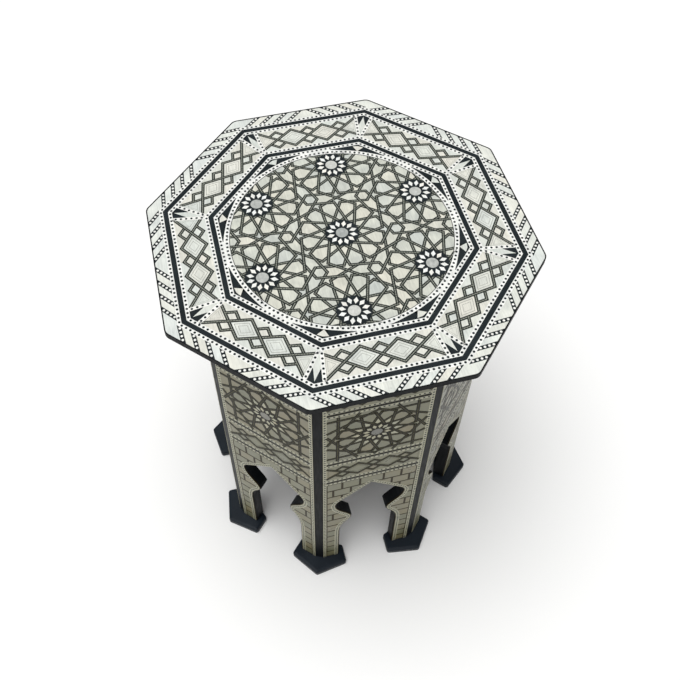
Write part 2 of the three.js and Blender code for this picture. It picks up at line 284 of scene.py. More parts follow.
def within_circle(outlines: np.ndarray, radius: float, cuts: int = 5) -> np.ndarray:
    """Outlines held inside a circle: points beyond it move in along their radius.

    Every edge is first cut into equal lengths, so an edge that crosses keeps its place
    inside. Outlines wholly beyond the circle are left out.

    Args:
        outlines: closed outlines, shape (n, k, 2).
        radius: the circle's radius.
        cuts: number of lengths that an edge is cut into.

    Returns:
        Outlines of shape (m, k * cuts, 2).
    """
    shares = np.arange(cuts)[:, None] / cuts
    following = np.roll(outlines, -1, 1)
    fine = outlines[:, :, None] * (1 - shares) + following[:, :, None] * shares
    fine = fine.reshape(len(outlines), -1, 2)
    reach = np.linalg.norm(fine, axis=-1, keepdims=True)
    fine = fine * np.minimum(1.0, radius / np.maximum(reach, MM))
    return fine[reach.min((1, 2)) < radius - MM]


def clipped_to_circle(lines: np.ndarray, radius: float, least: float = 0.02) -> np.ndarray:
    """Straight lines cut off at a circle, from |p + t (q - p)| = radius solved for t.

    Args:
        lines: end points, shape (n, 2, 2).
        radius: the circle's radius.
        least: smallest share of a line that is kept.

    Returns:
        End points of the lines that are left, shape (m, 2, 2).
    """
    start, step = lines[:, 0], lines[:, 1] - lines[:, 0]
    square, along = np.sum(step * step, -1), np.sum(start * step, -1)
    inside = along**2 - square * (np.sum(start * start, -1) - radius**2)
    root = np.sqrt(np.maximum(inside, 0.0))
    low, high = (np.clip((-along + sign * root) / square, 0.0, 1.0) for sign in (-1, 1))
    ends = np.stack([start + low[:, None] * step, start + high[:, None] * step], 1)
    return ends[(inside > 0) & (high - low > least)]


class Graph:
    """A material's nodes, with short calls that return output sockets."""

    def __init__(self, name: str) -> None:
        """Starts a material with a Principled shader and its output.

        Args:
            name: the material's name.
        """
        self.material = bpy.data.materials.new(name)
        self.material.use_nodes = True
        self.tree = self.material.node_tree
        self.tree.nodes.clear()
        self.shader = self.tree.nodes.new("ShaderNodeBsdfPrincipled")
        output = self.tree.nodes.new("ShaderNodeOutputMaterial")
        self.tree.links.new(self.shader.outputs[0], output.inputs[0])

    def node(self, kind: str, inputs: dict, **settings: object) -> bpy.types.Node:
        """Adds one node.

        Args:
            kind: the node's type name without its ShaderNode prefix.
            inputs: values or output sockets by input name or number.
            settings: attributes of the node.

        Returns:
            The node.
        """
        made = self.tree.nodes.new("ShaderNode" + kind)
        for name, value in settings.items():
            setattr(made, name, value)
        for key, value in inputs.items():
            if isinstance(value, Socket):
                self.tree.links.new(value, made.inputs[key])
            else:
                made.inputs[key].default_value = value
        return made

    def place(self) -> Socket:
        """The point's place in the object's own coordinates."""
        return self.node("TexCoord", {}).outputs["Object"]

    def drawn(self, scale: tuple, **more: object) -> Socket:
        """The point's place times a scale for each axis: a small one draws a noise out."""
        return self.node("Mapping", {"Vector": self.place(), "Scale": scale, **more}).outputs[0]

    def noise(
        self, scale: float, detail: float = 3.0, vector: Socket | None = None, **more: float
    ) -> Socket:
        """Cloudy noise from 0 to 1 at so many features a metre."""
        inputs = {"Vector": vector or self.place(), "Scale": scale, "Detail": detail, **more}
        return self.node("TexNoise", inputs).outputs["Fac"]

    def math(self, operation: str, *values: Socket | float) -> Socket:
        """One arithmetic step on numbers or sockets."""
        return self.node("Math", dict(enumerate(values)), operation=operation).outputs[0]

    def spread(self, value: Socket, low: float, high: float, start: float = 0.3, end: float = 0.7) -> Socket:
        """Maps start..end of a value to low..high, held at both ends.

        Most of a noise lies from 0.3 to 0.7, so that is the usual range.
        """
        inputs = {"Value": value, "From Min": start, "From Max": end, "To Min": low, "To Max": high}
        return self.node("MapRange", inputs).outputs[0]

    def blend(
        self, share: Socket | float, first: Socket | tuple, second: Socket | tuple, kind: str = "MIX"
    ) -> Socket:
        """Mixes two colours by a share from 0 to 1."""
        made = self.node("Mix", {0: share, 6: first, 7: second}, data_type="RGBA", blend_type=kind)
        return made.outputs[2]

    def ramp(self, value: Socket, stops: tuple) -> Socket:
        """Colours by value, blended between stops.

        Args:
            value: what picks the colour, from 0 to 1.
            stops: places from 0 to 1, each with its colour.

        Returns:
            The colour.
        """
        made = self.node("ValToRGB", {0: value})
        elements = made.color_ramp.elements
        while len(elements) < len(stops):
            elements.new(0.5)
        for element, (place, colour) in zip(elements, stops):
            element.position, element.color = place, colour
        return made.outputs[0]

    def finish(
        self, colour: Socket, roughness: Socket, bump: Socket | None = None, depth: float = 0.0
    ) -> None:
        """Links colour, roughness and a bump to the shader.

        Args:
            colour: the base colour.
            roughness: the roughness, from 0 to 1.
            bump: the bump's height, from 0 to 1.
            depth: how many metres a height of 1 stands for.
        """
        self.tree.links.new(colour, self.shader.inputs["Base Color"])
        self.tree.links.new(roughness, self.shader.inputs["Roughness"])
        if bump is not None:
            inputs = {"Height": bump, "Strength": 1.0, "Distance": depth}
            normal = self.node("Bump", inputs).outputs[0]
            self.tree.links.new(normal, self.shader.inputs["Normal"])


def rgb(red: float, green: float, blue: float) -> tuple[float, float, float, float]:
    """A colour as seen on screen, turned into linear light.

    Linear = ((c + 0.055) / 1.055) ** 2.4 for c the share of 255.

    Args:
        red: red from 0 to 255.
        green: green from 0 to 255.
        blue: blue from 0 to 255.

    Returns:
        The linear colour and an alpha of 1.
    """
    shares = np.array([red, green, blue]) / 255
    linear = np.where(shares > 0.04045, ((shares + 0.055) / 1.055) ** 2.4, shares / 12.92)
    return (*linear.tolist(), 1.0)


@dataclass(frozen=True)
class Finish:
    """What a piece is finished in; each kind makes its own material."""

    name: str
    slot: str

    def material(self) -> bpy.types.Material:
        """The finish's material."""
        raise NotImplementedError


@dataclass(frozen=True)
class Shell(Finish):
    """Polished shell or bone: a tint for each slip, soft clouds and faint growth lines."""

    cool: tuple = rgb(197, 202, 196)
    plain: tuple = rgb(209, 211, 199)
    warm: tuple = rgb(217, 215, 201)
    cloud_scale: float = 60.0
    line_scale: float = 800.0
    plain_tone: float = 0.45
    drift: float = 0.12
    turns: float = 17.0
    streak: tuple = (1.0, 0.1, 1.0)
    cloud_glow: tuple = (0.9, 1.08, 0.32, 0.68)
    line_glow: tuple = (0.88, 1.03, 0.33, 0.66)
    line_depth: float = 0.01 * MM
    roughness: tuple = (0.26, 0.42)
    coat: float = 0.12
    coat_roughness: float = 0.12

    def material(self) -> bpy.types.Material:
        """Colour = ramp of the slip's tone, darkened a little by clouds and growth lines.

        The growth lines are a noise drawn out along one axis, and that axis is turned by
        the slip's tone, so neighbouring slips were cut at different angles.

        Returns:
            The material.
        """
        graph = Graph(self.name)
        tone = graph.node("Attribute", {}, attribute_name="tone").outputs["Fac"]
        clouds = graph.noise(self.cloud_scale, detail=4.0, Distortion=0.6)
        shifted = graph.math("ADD", tone, graph.spread(clouds, -self.drift, self.drift))
        tint = graph.ramp(shifted, ((0.0, self.cool), (self.plain_tone, self.plain), (1.0, self.warm)))
        angle = graph.math("MULTIPLY", tone, self.turns)
        turn = graph.node("CombineXYZ", {0: angle, 1: angle, 2: angle}).outputs[0]
        lines = graph.noise(self.line_scale, vector=graph.drawn(self.streak, Rotation=turn), Distortion=0.5)
        glow = graph.spread(clouds, *self.cloud_glow)
        shade = graph.math("MULTIPLY", graph.spread(lines, *self.line_glow), glow)
        grey = graph.node("CombineColor", {0: shade, 1: shade, 2: shade}).outputs[0]
        colour = graph.blend(1.0, tint, grey, "MULTIPLY")
        graph.shader.inputs["Coat Weight"].default_value = self.coat
        graph.shader.inputs["Coat Roughness"].default_value = self.coat_roughness
        graph.finish(colour, graph.spread(clouds, *self.roughness), lines, self.line_depth)
        return graph.material


@dataclass(frozen=True)
class Lacquer(Finish):
    """Blackened wood under a satin coat, paler on its edges from wear and a painted highlight, and faintly
    streaked.
    """

    deep: tuple = rgb(10, 12, 14)
    pale: tuple = rgb(20, 23, 26)
    edge_wear_and_highlight: tuple = rgb(48, 51, 52)
    cloud_scale: float = 30.0
    roughness: tuple = (0.34, 0.52)
    gloss: float = 0.05
    edge: float = 0.9 * MM
    along: tuple = (1.0, 1.0, 0.12)
    grains_per_cloud: float = 16.0
    edge_rub_and_highlight: tuple = (0.55, 0.0, 0.72, 0.97)
    depth: float = 0.03 * MM

    def material(self) -> bpy.types.Material:
        """Colour = deep to pale by clouds, and paler where the rounded normal turns: edge wear and a painted
        edge highlight.

        Returns:
            The material.
        """
        graph = Graph(self.name)
        grain_scale = self.cloud_scale * self.grains_per_cloud
        grain = graph.noise(grain_scale, detail=5.0, vector=graph.drawn(self.along), Roughness=0.6)
        clouds = graph.noise(self.cloud_scale)
        body = graph.blend(graph.spread(clouds, 0.0, 1.0), self.deep, self.pale)
        rounded = graph.node("Bevel", {"Radius": self.edge}, samples=4).outputs[0]
        flat = graph.node("NewGeometry", {}).outputs["Normal"]
        facing = graph.node("VectorMath", {0: rounded, 1: flat}, operation="DOT_PRODUCT").outputs["Value"]
        # Edges are painted paler: partly wear, partly a painted highlight along every edge.
        edge_rub_and_highlight = graph.math("MULTIPLY", graph.spread(facing, *self.edge_rub_and_highlight), clouds)
        graph.shader.inputs["Specular IOR Level"].default_value = self.gloss
        rough = graph.spread(grain, *self.roughness)
        graph.finish(graph.blend(edge_rub_and_highlight, body, self.edge_wear_and_highlight), rough, grain, self.depth)
        return graph.material


@dataclass(frozen=True)
class Timber(Finish):
    """Bare, stained or varnished wood, its grain drawn out along an axis where one is given."""

    dark: tuple
    light: tuple
    scale: float
    roughness: tuple = (0.62, 0.77)
    gloss: float = 0.12
    along: tuple = (1.0, 1.0, 1.0)
    depth: float = 0.08 * MM

    def material(self) -> bpy.types.Material:
        """Colour = dark to light by a noise that is drawn out along the grain.

        Returns:
            The material.
        """
        graph = Graph(self.name)
        grain = graph.noise(self.scale, detail=6.0, vector=graph.drawn(self.along), Distortion=0.4)
        colour = graph.blend(graph.spread(grain, 0.0, 1.0), self.dark, self.light)
        graph.shader.inputs["Specular IOR Level"].default_value = self.gloss
        graph.finish(colour, graph.spread(grain, *self.roughness), grain, self.depth)
        return graph.material


@dataclass(frozen=True)
class Backdrop(Finish):
    """Matt paper floor with barely visible fibre."""

    name: str = "backdrop_paper"
    slot: str = ""
    colour: tuple = rgb(248, 248, 247)
    fibre_shade: float = 0.985
    fibre_scale: float = 300.0
    roughness: tuple = (0.85, 0.95)

    def material(self) -> bpy.types.Material:
        """Colour = paper, a hundredth darker where the fine noise is low.

        Returns:
            The material.
        """
        graph = Graph(self.name)
        fibre = graph.noise(self.fibre_scale, detail=2.0)
        darker = tuple(self.fibre_shade * part for part in self.colour[:3]) + (1.0,)
        graph.finish(graph.blend(fibre, darker, self.colour), graph.spread(fibre, *self.roughness, 0.0, 1.0))
        return graph.material


SHELL = Shell("shell", "pearl")
BAND_SHELL = Shell("band_shell", "pearl", rgb(214, 219, 213), rgb(219, 221, 212), rgb(223, 221, 210))
BORDER = Shell("border_shell", "pearl_border", rgb(222, 227, 223), rgb(225, 228, 220), rgb(228, 227, 216))
BONE = Shell("bone", "pearl_border", rgb(234, 237, 236), rgb(239, 240, 235), rgb(241, 238, 229), 80.0)
BOSS = Shell("boss_shell", "pearl", rgb(166, 170, 167), rgb(190, 192, 187), rgb(210, 211, 205), 300.0, 500.0)
EBONY = Lacquer(
    "ebony", "ebony", rgb(23, 30, 33), rgb(37, 44, 47), rgb(58, 64, 66), 45.0,
    roughness=(0.32, 0.5), gloss=0.12, edge=0.2 * MM,
)
LACQUER = Lacquer("black_lacquer", "black_lacquer")
# The feet's lacquer is a lighter, bluer copy of the black lacquer with brighter edges: painted sheen and
# painted edge highlight on the feet.
SHEEN_FOOT_LACQUER = Lacquer(
    "foot_lacquer_painted_sheen", "black_lacquer", rgb(15, 23, 31), rgb(28, 36, 44), rgb(76, 80, 82), gloss=0.15
)
STRAP = Timber("strap_wood", "ebony", rgb(28, 33, 32), rgb(47, 52, 49), 700.0, (0.5, 0.65))
DASH = Timber("strap_dash", "pearl", rgb(116, 119, 109), rgb(156, 159, 148), 900.0, (0.4, 0.55))
LINE = Timber("shell_line", "ebony", rgb(118, 118, 110), rgb(156, 156, 148), 900.0, (0.4, 0.55))
# The sides' finishes are the top's shell, bone, boss, strap and dash colours made darker: painted shade,
# since the sides get less light than the top.
SHADED_SIDE_SHELL = Shell("shaded_side_shell", "pearl", rgb(103, 104, 78), rgb(111, 109, 80), rgb(118, 110, 78))
SHADED_SIDE_BONE = Shell(
    "shaded_side_bone", "pearl_border", rgb(160, 160, 136), rgb(164, 162, 135), rgb(167, 161, 131), 80.0
)
SHADED_SIDE_BOSS = Shell("shaded_side_boss", "pearl", rgb(78, 80, 76), rgb(98, 98, 90), rgb(120, 118, 106), 300.0, 500.0)
SHADED_SIDE_STRAP = Timber("shaded_side_strap", "ebony", rgb(16, 15, 6), rgb(33, 30, 16), 700.0, (0.2, 0.35), 0.05)
SHADED_SIDE_DASH = Timber("shaded_side_dash", "pearl", rgb(64, 62, 42), rgb(90, 87, 62), 900.0, (0.2, 0.35), 0.05)
MASTIC = Timber("mastic", "stained_wood", rgb(34, 28, 13), rgb(56, 47, 25), 500.0, (0.25, 0.4), 0.06)
BARE = Timber("bare_wood", "bare_wood", rgb(146, 112, 76), rgb(184, 150, 108), 90.0, along=(0.1, 1.0, 1.0))


class Workshop:
    """Keeps one material for each finish and draws the slips' tones."""

    def __init__(self) -> None:
        """Starts with no material made and seeded chance."""
        self.made: dict[str, bpy.types.Material] = {}
        self.chance = np.random.default_rng(SEED)

    def coat(self, piece: bpy.types.Object, finish: Finish) -> None:
        """Gives the piece its finish as its only material.

        Args:
            piece: what is coated.
            finish: what it is coated with.
        """
        if finish.name not in self.made:
            self.made[finish.name] = finish.material()
        piece.data.materials.clear()
        piece.data.materials.append(self.made[finish.name])

    def tones(self, count: int) -> np.ndarray:
        """A tone from 0 to 1 for each of so many slips."""
        return self.chance.uniform(0.0, 1.0, count)


class Inlay:
    """Slips of one finish that become one piece: each is a prism on a flat outline."""

    def __init__(self, shop: Workshop, bed: Bed, name: str, finish: Finish) -> None:
        """Starts with no slips.

        Args:
            shop: workshop that makes the material and draws the tones.
            bed: places that each outline is laid on.
            name: the piece's name.
            finish: the piece's finish.
        """
        self.shop = shop
        self.bed = bed
        self.name = name
        self.finish = finish
        self.batches: list[tuple[np.ndarray, np.ndarray, np.ndarray]] = []

    def lay(
        self,
        outlines: np.ndarray,
        level: Level,
        tones: float | np.ndarray = PLAIN_TONE,
        bed: Bed | None = None,
    ) -> "Inlay":
        """Adds a prism for each outline on each of the bed's places.

        The outline's signed area, half the sum of x1 y2 - x2 y1, says which way it runs,
        and one that runs clockwise is turned round first.

        Args:
            outlines: closed outlines, shape (n, k, 2).
            level: which level the slips' faces have.
            tones: one tone, or one for each outline, or one for each outline on each place.
            bed: places that the slips lie on, if not on the inlay's own.

        Returns:
            The inlay.
        """
        bed = bed or self.bed
        following = np.roll(outlines, -1, 1)
        area = np.sum(outlines[..., 0] * following[..., 1] - outlines[..., 1] * following[..., 0], 1)
        outlines = np.where(area[:, None, None] < 0, outlines[:, ::-1], outlines)
        high = bed.place(outlines, level.value)
        copies = len(high) // max(1, np.size(tones))
        self.batches.append((bed.place(outlines, SLIP_ROOT), high, np.tile(np.ravel(tones), copies)))
        return self

    def vary(self, outlines: np.ndarray, level: Level = Level.CELL, bed: Bed | None = None) -> "Inlay":
        """Lays outlines as lay does, and draws a tone for each slip."""
        bed = bed or self.bed
        return self.lay(outlines, level, self.shop.tones(len(bed.origins) * len(outlines)), bed)

    def build(self) -> bpy.types.Object:
        """Makes the mesh: for k corners a k-gon over another and k four-sided walls.

        Returns:
            The piece, riding on the body.
        """
        points, loops, sizes, tones = [], [], [], []
        offset = 0
        for low, high, tone in self.batches:
            count, corners = low.shape[:2]
            base = offset + 2 * corners * np.arange(count)[:, None]
            ring = np.arange(corners)
            after = (ring + 1) % corners
            walls = np.stack([ring, after, corners + after, corners + ring], -1).reshape(-1)
            loops.append(np.concatenate([base + corners + ring, base + ring[::-1], base + walls], 1).ravel())
            sizes.append(np.tile([corners, corners] + [4] * corners, count))
            points.append(np.concatenate([low, high], 1).reshape(-1, 3))
            tones.append(np.repeat(tone, corners + 2))
            offset += 2 * corners * count
        points, loops, sizes = map(np.concatenate, (points, loops, sizes))
        mesh = bpy.data.meshes.new(self.name)
        mesh.vertices.add(len(points))
        mesh.vertices.foreach_set("co", points.astype(np.float32).ravel())
        mesh.loops.add(len(loops))
        mesh.loops.foreach_set("vertex_index", loops.astype(np.int32))
        mesh.polygons.add(len(sizes))
        mesh.polygons.foreach_set("loop_start", np.concatenate([[0], np.cumsum(sizes)[:-1]]).astype(np.int32))
        mesh.update(calc_edges=True)
        mesh.shade_flat()
        tone = mesh.attributes.new("tone", "FLOAT", "FACE")
        tone.data.foreach_set("value", np.concatenate(tones).astype(np.float32))
        piece = bpy.data.objects.new(self.name, mesh)
        bpy.context.scene.collection.objects.link(piece)
        self.shop.coat(piece, self.finish)
        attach(piece, BODY)
        log.info("%s: %d slips, %d faces", self.name, sum(len(b[0]) for b in self.batches), len(sizes))
        return piece


@dataclass(frozen=True)
class Stringing:
    """A bone strip with a row of ebony dots."""

    width: float = 3.6 * MM
    dot: float = 2.35 * MM
    pitch: float = 4.5 * MM

    def lay(
        self, bone: Inlay, marks: Inlay, line: np.ndarray, levels: tuple[Level, Level], twice: bool = False
    ) -> None:
        """Lays the strip and its dots along a line.

        Args:
            bone: inlay for the strip.
            marks: inlay for the dots.
            line: the line's points, shape (m, 2).
            levels: levels of strip and dots.
            twice: whether the line's mirror image gets them too.
        """
        images = mirrored if twice else np.asarray
        bone.lay(images(ribbons(line[None], self.width)), levels[0], BONE_TONE)
        marks.lay(images(self.dots(line)), levels[1])

    def dots(self, line: np.ndarray) -> np.ndarray:
        """The dots' outlines along a line of points."""
        return dots(dots_along(line, self.pitch), self.dot)


@dataclass(frozen=True)
class Strap:
    """A dark strap with a row of pale dashes along its middle."""

    width: float = 3.15 * MM
    dash: float = 0.85 * MM
    dash_length: float = 2.0 * MM
    dash_pitch: float = 2.4 * MM


@dataclass
class Marquetry:
    """Marquetry on beds of one kind."""

    shop: Workshop
    bed: Bed

    def inlay(self, name: str, finish: Finish) -> Inlay:
        """Starts a piece whose slips lie on the bed."""
        return Inlay(self.shop, self.bed, name, finish)

    def lay_ends(self, inlay: Inlay, right: np.ndarray, left: np.ndarray) -> None:
        """Lays one slip at each end of every side, in one tone where two sides meet.

        Args:
            inlay: inlay for the slips.
            right: outline at a side's right end, shape (k, 2).
            left: outline at its left end.
        """
        tones = self.shop.tones(SIDES)
        inlay.lay(right[None], Level.CELL, tones)
        inlay.lay(left[None], Level.CELL, np.roll(tones, -1))


class StrapWork:
    """Collects straps and their dashes into two inlays, lower and upper straps apart."""

    def __init__(
        self, host: Marquetry, name: str, strap: Strap, body: Finish = STRAP, dash: Finish = DASH
    ) -> None:
        """Starts the two inlays.

        Args:
            host: marquetry that the straps belong to.
            name: start of the two pieces' names.
            strap: sizes of strap and dashes.
            body: the straps' finish.
            dash: the dashes' finish.
        """
        self.strap = strap
        self.body = host.inlay(name + "_straps", body)
        self.marks = host.inlay(name + "_strap_dashes", dash)

    def lay(self, paths: np.ndarray, over: bool) -> None:
        """Lays straps along the paths, with their dashes a little higher.

        Args:
            paths: the straps' middle lines, shape (n, m, 2).
            over: whether they run over those that they cross.
        """
        body, mark = (Level.OVER, Level.OVER_LINE) if over else (Level.STRAP, Level.STRAP_LINE)
        self.body.lay(ribbons(paths, self.strap.width), body)
        self.marks.lay(dashes(paths, self.strap.dash, self.strap.dash_length, self.strap.dash_pitch), mark)

    def build(self) -> bpy.types.Object:
        """Builds both and returns the straps."""
        self.marks.build()
        return self.body.build()


@dataclass(frozen=True)
class LozengeChain:
    """Two straps that cross again and again and shut in a row of lozenges.

    The field ends at two lines that may lean: methods take where such a line stands along
    the chain at its foot and at its head, and half the field's height.
    """

    pitch: float = 32.6 * MM
    rise: float = 11.6 * MM
    gable_half: float = 7.6 * MM
    gable_rise: float = 11.2 * MM
    line_shares: tuple = ((0.66, 0.62), (0.40, 0.37))

    @property
    def slope(self) -> float:
        """Rise of a strap for each unit along the chain."""
        return self.rise / (self.pitch / 2)

    @property
    def shoulder(self) -> tuple[float, float]:
        """Where a chevron over the middle crossing ends on a strap."""
        return self.gable_half, self.gable_half * self.slope

    def meets(self, foot: float, head: float, half: float) -> np.ndarray:
        """Where the straps that rise and fall from the outer crossing meet the end line.

        The end line runs from (foot, -half) to (head, half), and the straps are
        y = slope * (x - pitch) and its negative.

        Args:
            foot: the end line's place along the chain at the field's lower edge.
            head: its place at the upper edge.
            half: half the field's height.

        Returns:
            The two meeting points, the rising strap's first, shape (2, 2).
        """
        lean = (head - foot) / (2 * half)
        climb = self.slope * np.array([1.0, -1.0])
        along = ((foot + head) / 2 - lean * climb * self.pitch) / (1 - lean * climb)
        return np.stack([along, climb * (along - self.pitch)], -1)

    def straps(self, *ends: float) -> np.ndarray:
        """The two zigzag straps.

        Args:
            ends: the end line's foot and head, and half the field's height.

        Returns:
            Their middle lines, shape (2, 4, 2).
        """
        up, down = self.meets(*ends)
        bend = self.pitch / 2
        return mirrored(np.array([[down * LEFT_RIGHT, (-bend, self.rise), (bend, -self.rise), up]]))

    def over_and_under(self, shape: list) -> np.ndarray:
        """A shape and its image upside down, at each of the three crossings."""
        both = np.stack([np.array(shape), shape * UPSIDE_DOWN])
        return np.concatenate([both + [place, 0.0] for place in self.pitch * np.arange(-1, 2)])

    def gables(self) -> np.ndarray:
        """The chevrons over and under each crossing, shape (6, 3, 2)."""
        along, up = self.shoulder
        return self.over_and_under([(-along, up), (0.0, self.gable_rise), (along, up)])

    def small_lozenges(self) -> np.ndarray:
        """The six small lozenges over and under the crossings, shape (6, 4, 2)."""
        along, up = self.shoulder
        return self.over_and_under([(0.0, 0.0), (along, up), (0.0, self.gable_rise), (-along, up)])

    def lozenges(self) -> np.ndarray:
        """The two large lozenges, between the crossings.

        Returns:
            Outlines of shape (2, 4, 2).
        """
        half = self.pitch / 2
        shape = np.array([(half, 0.0), (0.0, self.rise), (-half, 0.0), (0.0, -self.rise)])
        return np.stack([shape - [half, 0.0], shape + [half, 0.0]])

    def end_cells(self, *ends: float) -> np.ndarray:
        """The half lozenges between the outer crossings and the end lines, shape (2, 3, 2)."""
        return mirrored(np.array([[(self.pitch, 0.0), *self.meets(*ends)]]))

    def edge_cells(self, foot: float, head: float, half: float) -> np.ndarray:
        """The cells between the straps and the field's edges.

        Args:
            foot: the end line's place along the chain at the field's lower edge.
            head: its place at the upper edge.
            half: half the field's height.

        Returns:
            Outlines of shape (12, 5, 2).
        """
        ridge, bend = self.shoulder, self.pitch / 2
        cell = np.array([(0.0, half), (0.0, self.gable_rise), ridge, (bend, self.rise), (bend, half)])
        inner = np.concatenate([cell[None], cell[None] * LEFT_RIGHT + [self.pitch, 0.0]])
        inner = np.concatenate([inner, inner * UPSIDE_DOWN])
        ends = []
        for meet, rising, corner in zip(self.meets(foot, head, half), (1.0, -1.0), (head, foot)):
            far = np.array([(0.0, half), (0.0, self.gable_rise), ridge]) * [1.0, rising]
            ends.append(np.concatenate([far + [self.pitch, 0.0], [meet, (corner, rising * half)]]))
        return mirrored(np.concatenate([inner, np.array(ends)]))

    def lay(self, shell: Inlay, lines: Inlay, work: StrapWork, middle: float, *ends: float) -> None:
        """Lays the field's cells, the thin lines in them and the straps.

        Args:
            shell: inlay for the cells.
            lines: inlay for the lines.
            work: straps and dashes.
            middle: height of the chain on its bed.
            ends: the end line's foot and head, and half the field's height.
        """
        up = np.array([0.0, middle])
        large = self.lozenges(), self.end_cells(*ends)
        for outlines in (large[0], self.small_lozenges(), large[1], self.edge_cells(*ends)):
            shell.vary(outlines + up)
        for outlines in large:
            for shares in self.line_shares:
                lines.lay(rims(outlines, *shares) + up, Level.STRIP)
        straps = self.straps(*ends) + up
        work.lay(self.gables() + up, False)
        work.lay(straps[:1], True)
        work.lay(straps[1:], False)


@dataclass(frozen=True)
class Star:
    """A twelve-fold rosette and the straps that leave it, on a grid of such stars.

    A strap starts under the disc, crosses its twin on a radius, bends at the foot of
    that radius and runs square to it towards the next star.
    """

    spacing: float = 88.2 * MM
    cross_radius: float = 30.9 * MM
    bend_offset: float = 2.8 * MM
    disc_radius: float = 15.7 * MM
    petal_inner: float = 7.2 * MM
    petal_outer: float = 14.6 * MM
    petal_half: float = 2.2 * MM
    boss_radius: float = 5.7 * MM
    root_share: float = 0.8
    rays: int = 12

    @property
    def step(self) -> float:
        """Angle between two radii."""
        return 2 * np.pi / self.rays

    @property
    def foot_radius(self) -> float:
        """Half the spacing times the cosine of a step."""
        return self.spacing / 2 * np.cos(self.step)

    @property
    def knot_radius(self) -> float:
        """Distance from a knot's middle to its corners: spacing / root 3 - spacing / 2."""
        return self.spacing * (1 / np.sqrt(3) - 0.5)

    @property
    def angles(self) -> np.ndarray:
        """The radii's directions."""
        return self.step * np.arange(self.rays)

    @property
    def left_hand(self) -> np.ndarray:
        """Which of strap_lines' stretches belong to left-hand straps."""
        return np.tile(np.arange(2 * self.rays) < self.rays, 2)

    def local(self, radial: float, tangential: float) -> np.ndarray:
        """A point given along and across each radius, once for each hand.

        Args:
            radial: how far out along the radius it lies.
            tangential: how far from it, to the left or right.

        Returns:
            The left-hand points, then the right-hand ones, shape (24, 2).
        """
        out = compass(self.angles)[:, :2]
        left = np.stack([-out[:, 1], out[:, 0]], -1)
        return np.concatenate([radial * out + hand * tangential * left for hand in (1.0, -1.0)])

    def strap_lines(self, reach: np.ndarray, width: float) -> np.ndarray:
        """Inner and outer straight stretches of the straps, overrun at the bend.

        The overrun is half the width times tan(half the bend), so that the two square
        ends close the outside of the bend.

        Args:
            reach: how far across its radius each strap runs, shape (24,).
            width: the strap's width.

        Returns:
            End points, shape (48, 2, 2): the 24 inner stretches first.
        """
        run = self.foot_radius - self.cross_radius
        start_radial = self.disc_radius * self.root_share
        share = (self.foot_radius - start_radial) / run
        start = self.local(start_radial, self.bend_offset * (1 - share))
        bend, across = self.local(self.foot_radius, self.bend_offset), self.local(0.0, 1.0)
        end = bend + (reach - self.bend_offset)[:, None] * across
        inward = (bend - start) / np.linalg.norm(bend - start, axis=1, keepdims=True)
        half_bend = np.arccos(np.sum(inward * across, 1)) / 2
        overrun = (width / 2 * np.tan(half_bend))[:, None]
        inner = np.stack([start, bend + overrun * inward], 1)
        outer = np.stack([bend - overrun * across, end], 1)
        return np.concatenate([inner, outer])

    def cells(self) -> dict[str, np.ndarray]:
        """Outlines of the cells round one star, by name.

        The corners are the crossings of the straps: tips between two discs' edges,
        crossings on the radii, bends, valleys halfway between two radii, and the
        crossings at half the spacing.

        Returns:
            Petals (12, 6, 2), kites (12, 4, 2) and darts (12, 6, 2).
        """
        run = self.foot_radius - self.cross_radius
        slant = np.tan(self.step / 2)
        share = (slant * self.foot_radius + self.bend_offset) / (self.bend_offset + slant * run)
        tip_radius = (self.foot_radius - share * run) / np.cos(self.step / 2)
        between = self.angles + self.step / 2
        tips, crosses = polar(tip_radius, between), polar(self.cross_radius, self.angles)
        valleys = polar(self.foot_radius / np.cos(self.step / 2), between)
        left, right = np.split(self.local(self.foot_radius, self.bend_offset), 2)
        outer = polar(self.spacing / 2, self.angles)
        root = polar(self.disc_radius * self.root_share, self.angles)
        ahead, behind = (lambda a: np.roll(a, -1, 0)), (lambda a: np.roll(a, 1, 0))
        return {
            "petals": np.stack([tips, crosses, left, valleys, ahead(right), ahead(crosses)], 1),
            "kites": np.stack([root, behind(tips), crosses, tips], 1),
            "darts": np.stack([crosses, left, valleys, outer, behind(valleys), right], 1),
        }

    def petals(self) -> np.ndarray:
        """The rosette's twelve white rhombs, between the radii.

        Returns:
            Outlines of shape (12, 4, 2).
        """
        angles = self.angles + self.step / 2
        middle = (self.petal_inner + self.petal_outer) / 2
        lean = np.arctan2(self.petal_half, middle)
        wide = np.hypot(self.petal_half, middle)
        corners = [(self.petal_inner, 0.0), (wide, lean), (self.petal_outer, 0.0), (wide, -lean)]
        return np.stack([polar(radius, angles + turn) for radius, turn in corners], 1)

    def disc(self, radius: float, corners: int = 24) -> np.ndarray:
        """A round plate, shape (1, corners, 2)."""
        return polar(radius, 2 * np.pi * np.arange(corners) / corners)[None]

    def lay_rosettes(
        self, host: Marquetry, name: str, finishes: tuple, places: np.ndarray, edge: float = np.inf
    ) -> bpy.types.Object:
        """Builds the discs, petals and bosses of the rosettes.

        Args:
            host: marquetry that the rosettes belong to.
            name: start of the three pieces' names.
            finishes: finishes of discs, petals and bosses.
            places: the rosettes' middles, shape (n, 2).
            edge: radius of a circle that cuts off the discs.

        Returns:
            The piece with the petals.
        """
        discs, petals, bosses = (
            host.inlay(f"{name}_{part}", finish)
            for part, finish in zip(("discs", "petals", "bosses"), finishes)
        )
        discs.lay(within_circle(repeated(self.disc(self.disc_radius), places), edge, 1), Level.DISC).build()
        piece = petals.vary(repeated(self.petals(), places), Level.PETAL).build()
        bosses.vary(repeated(self.disc(self.boss_radius), places), Level.PETAL).build()
        return piece


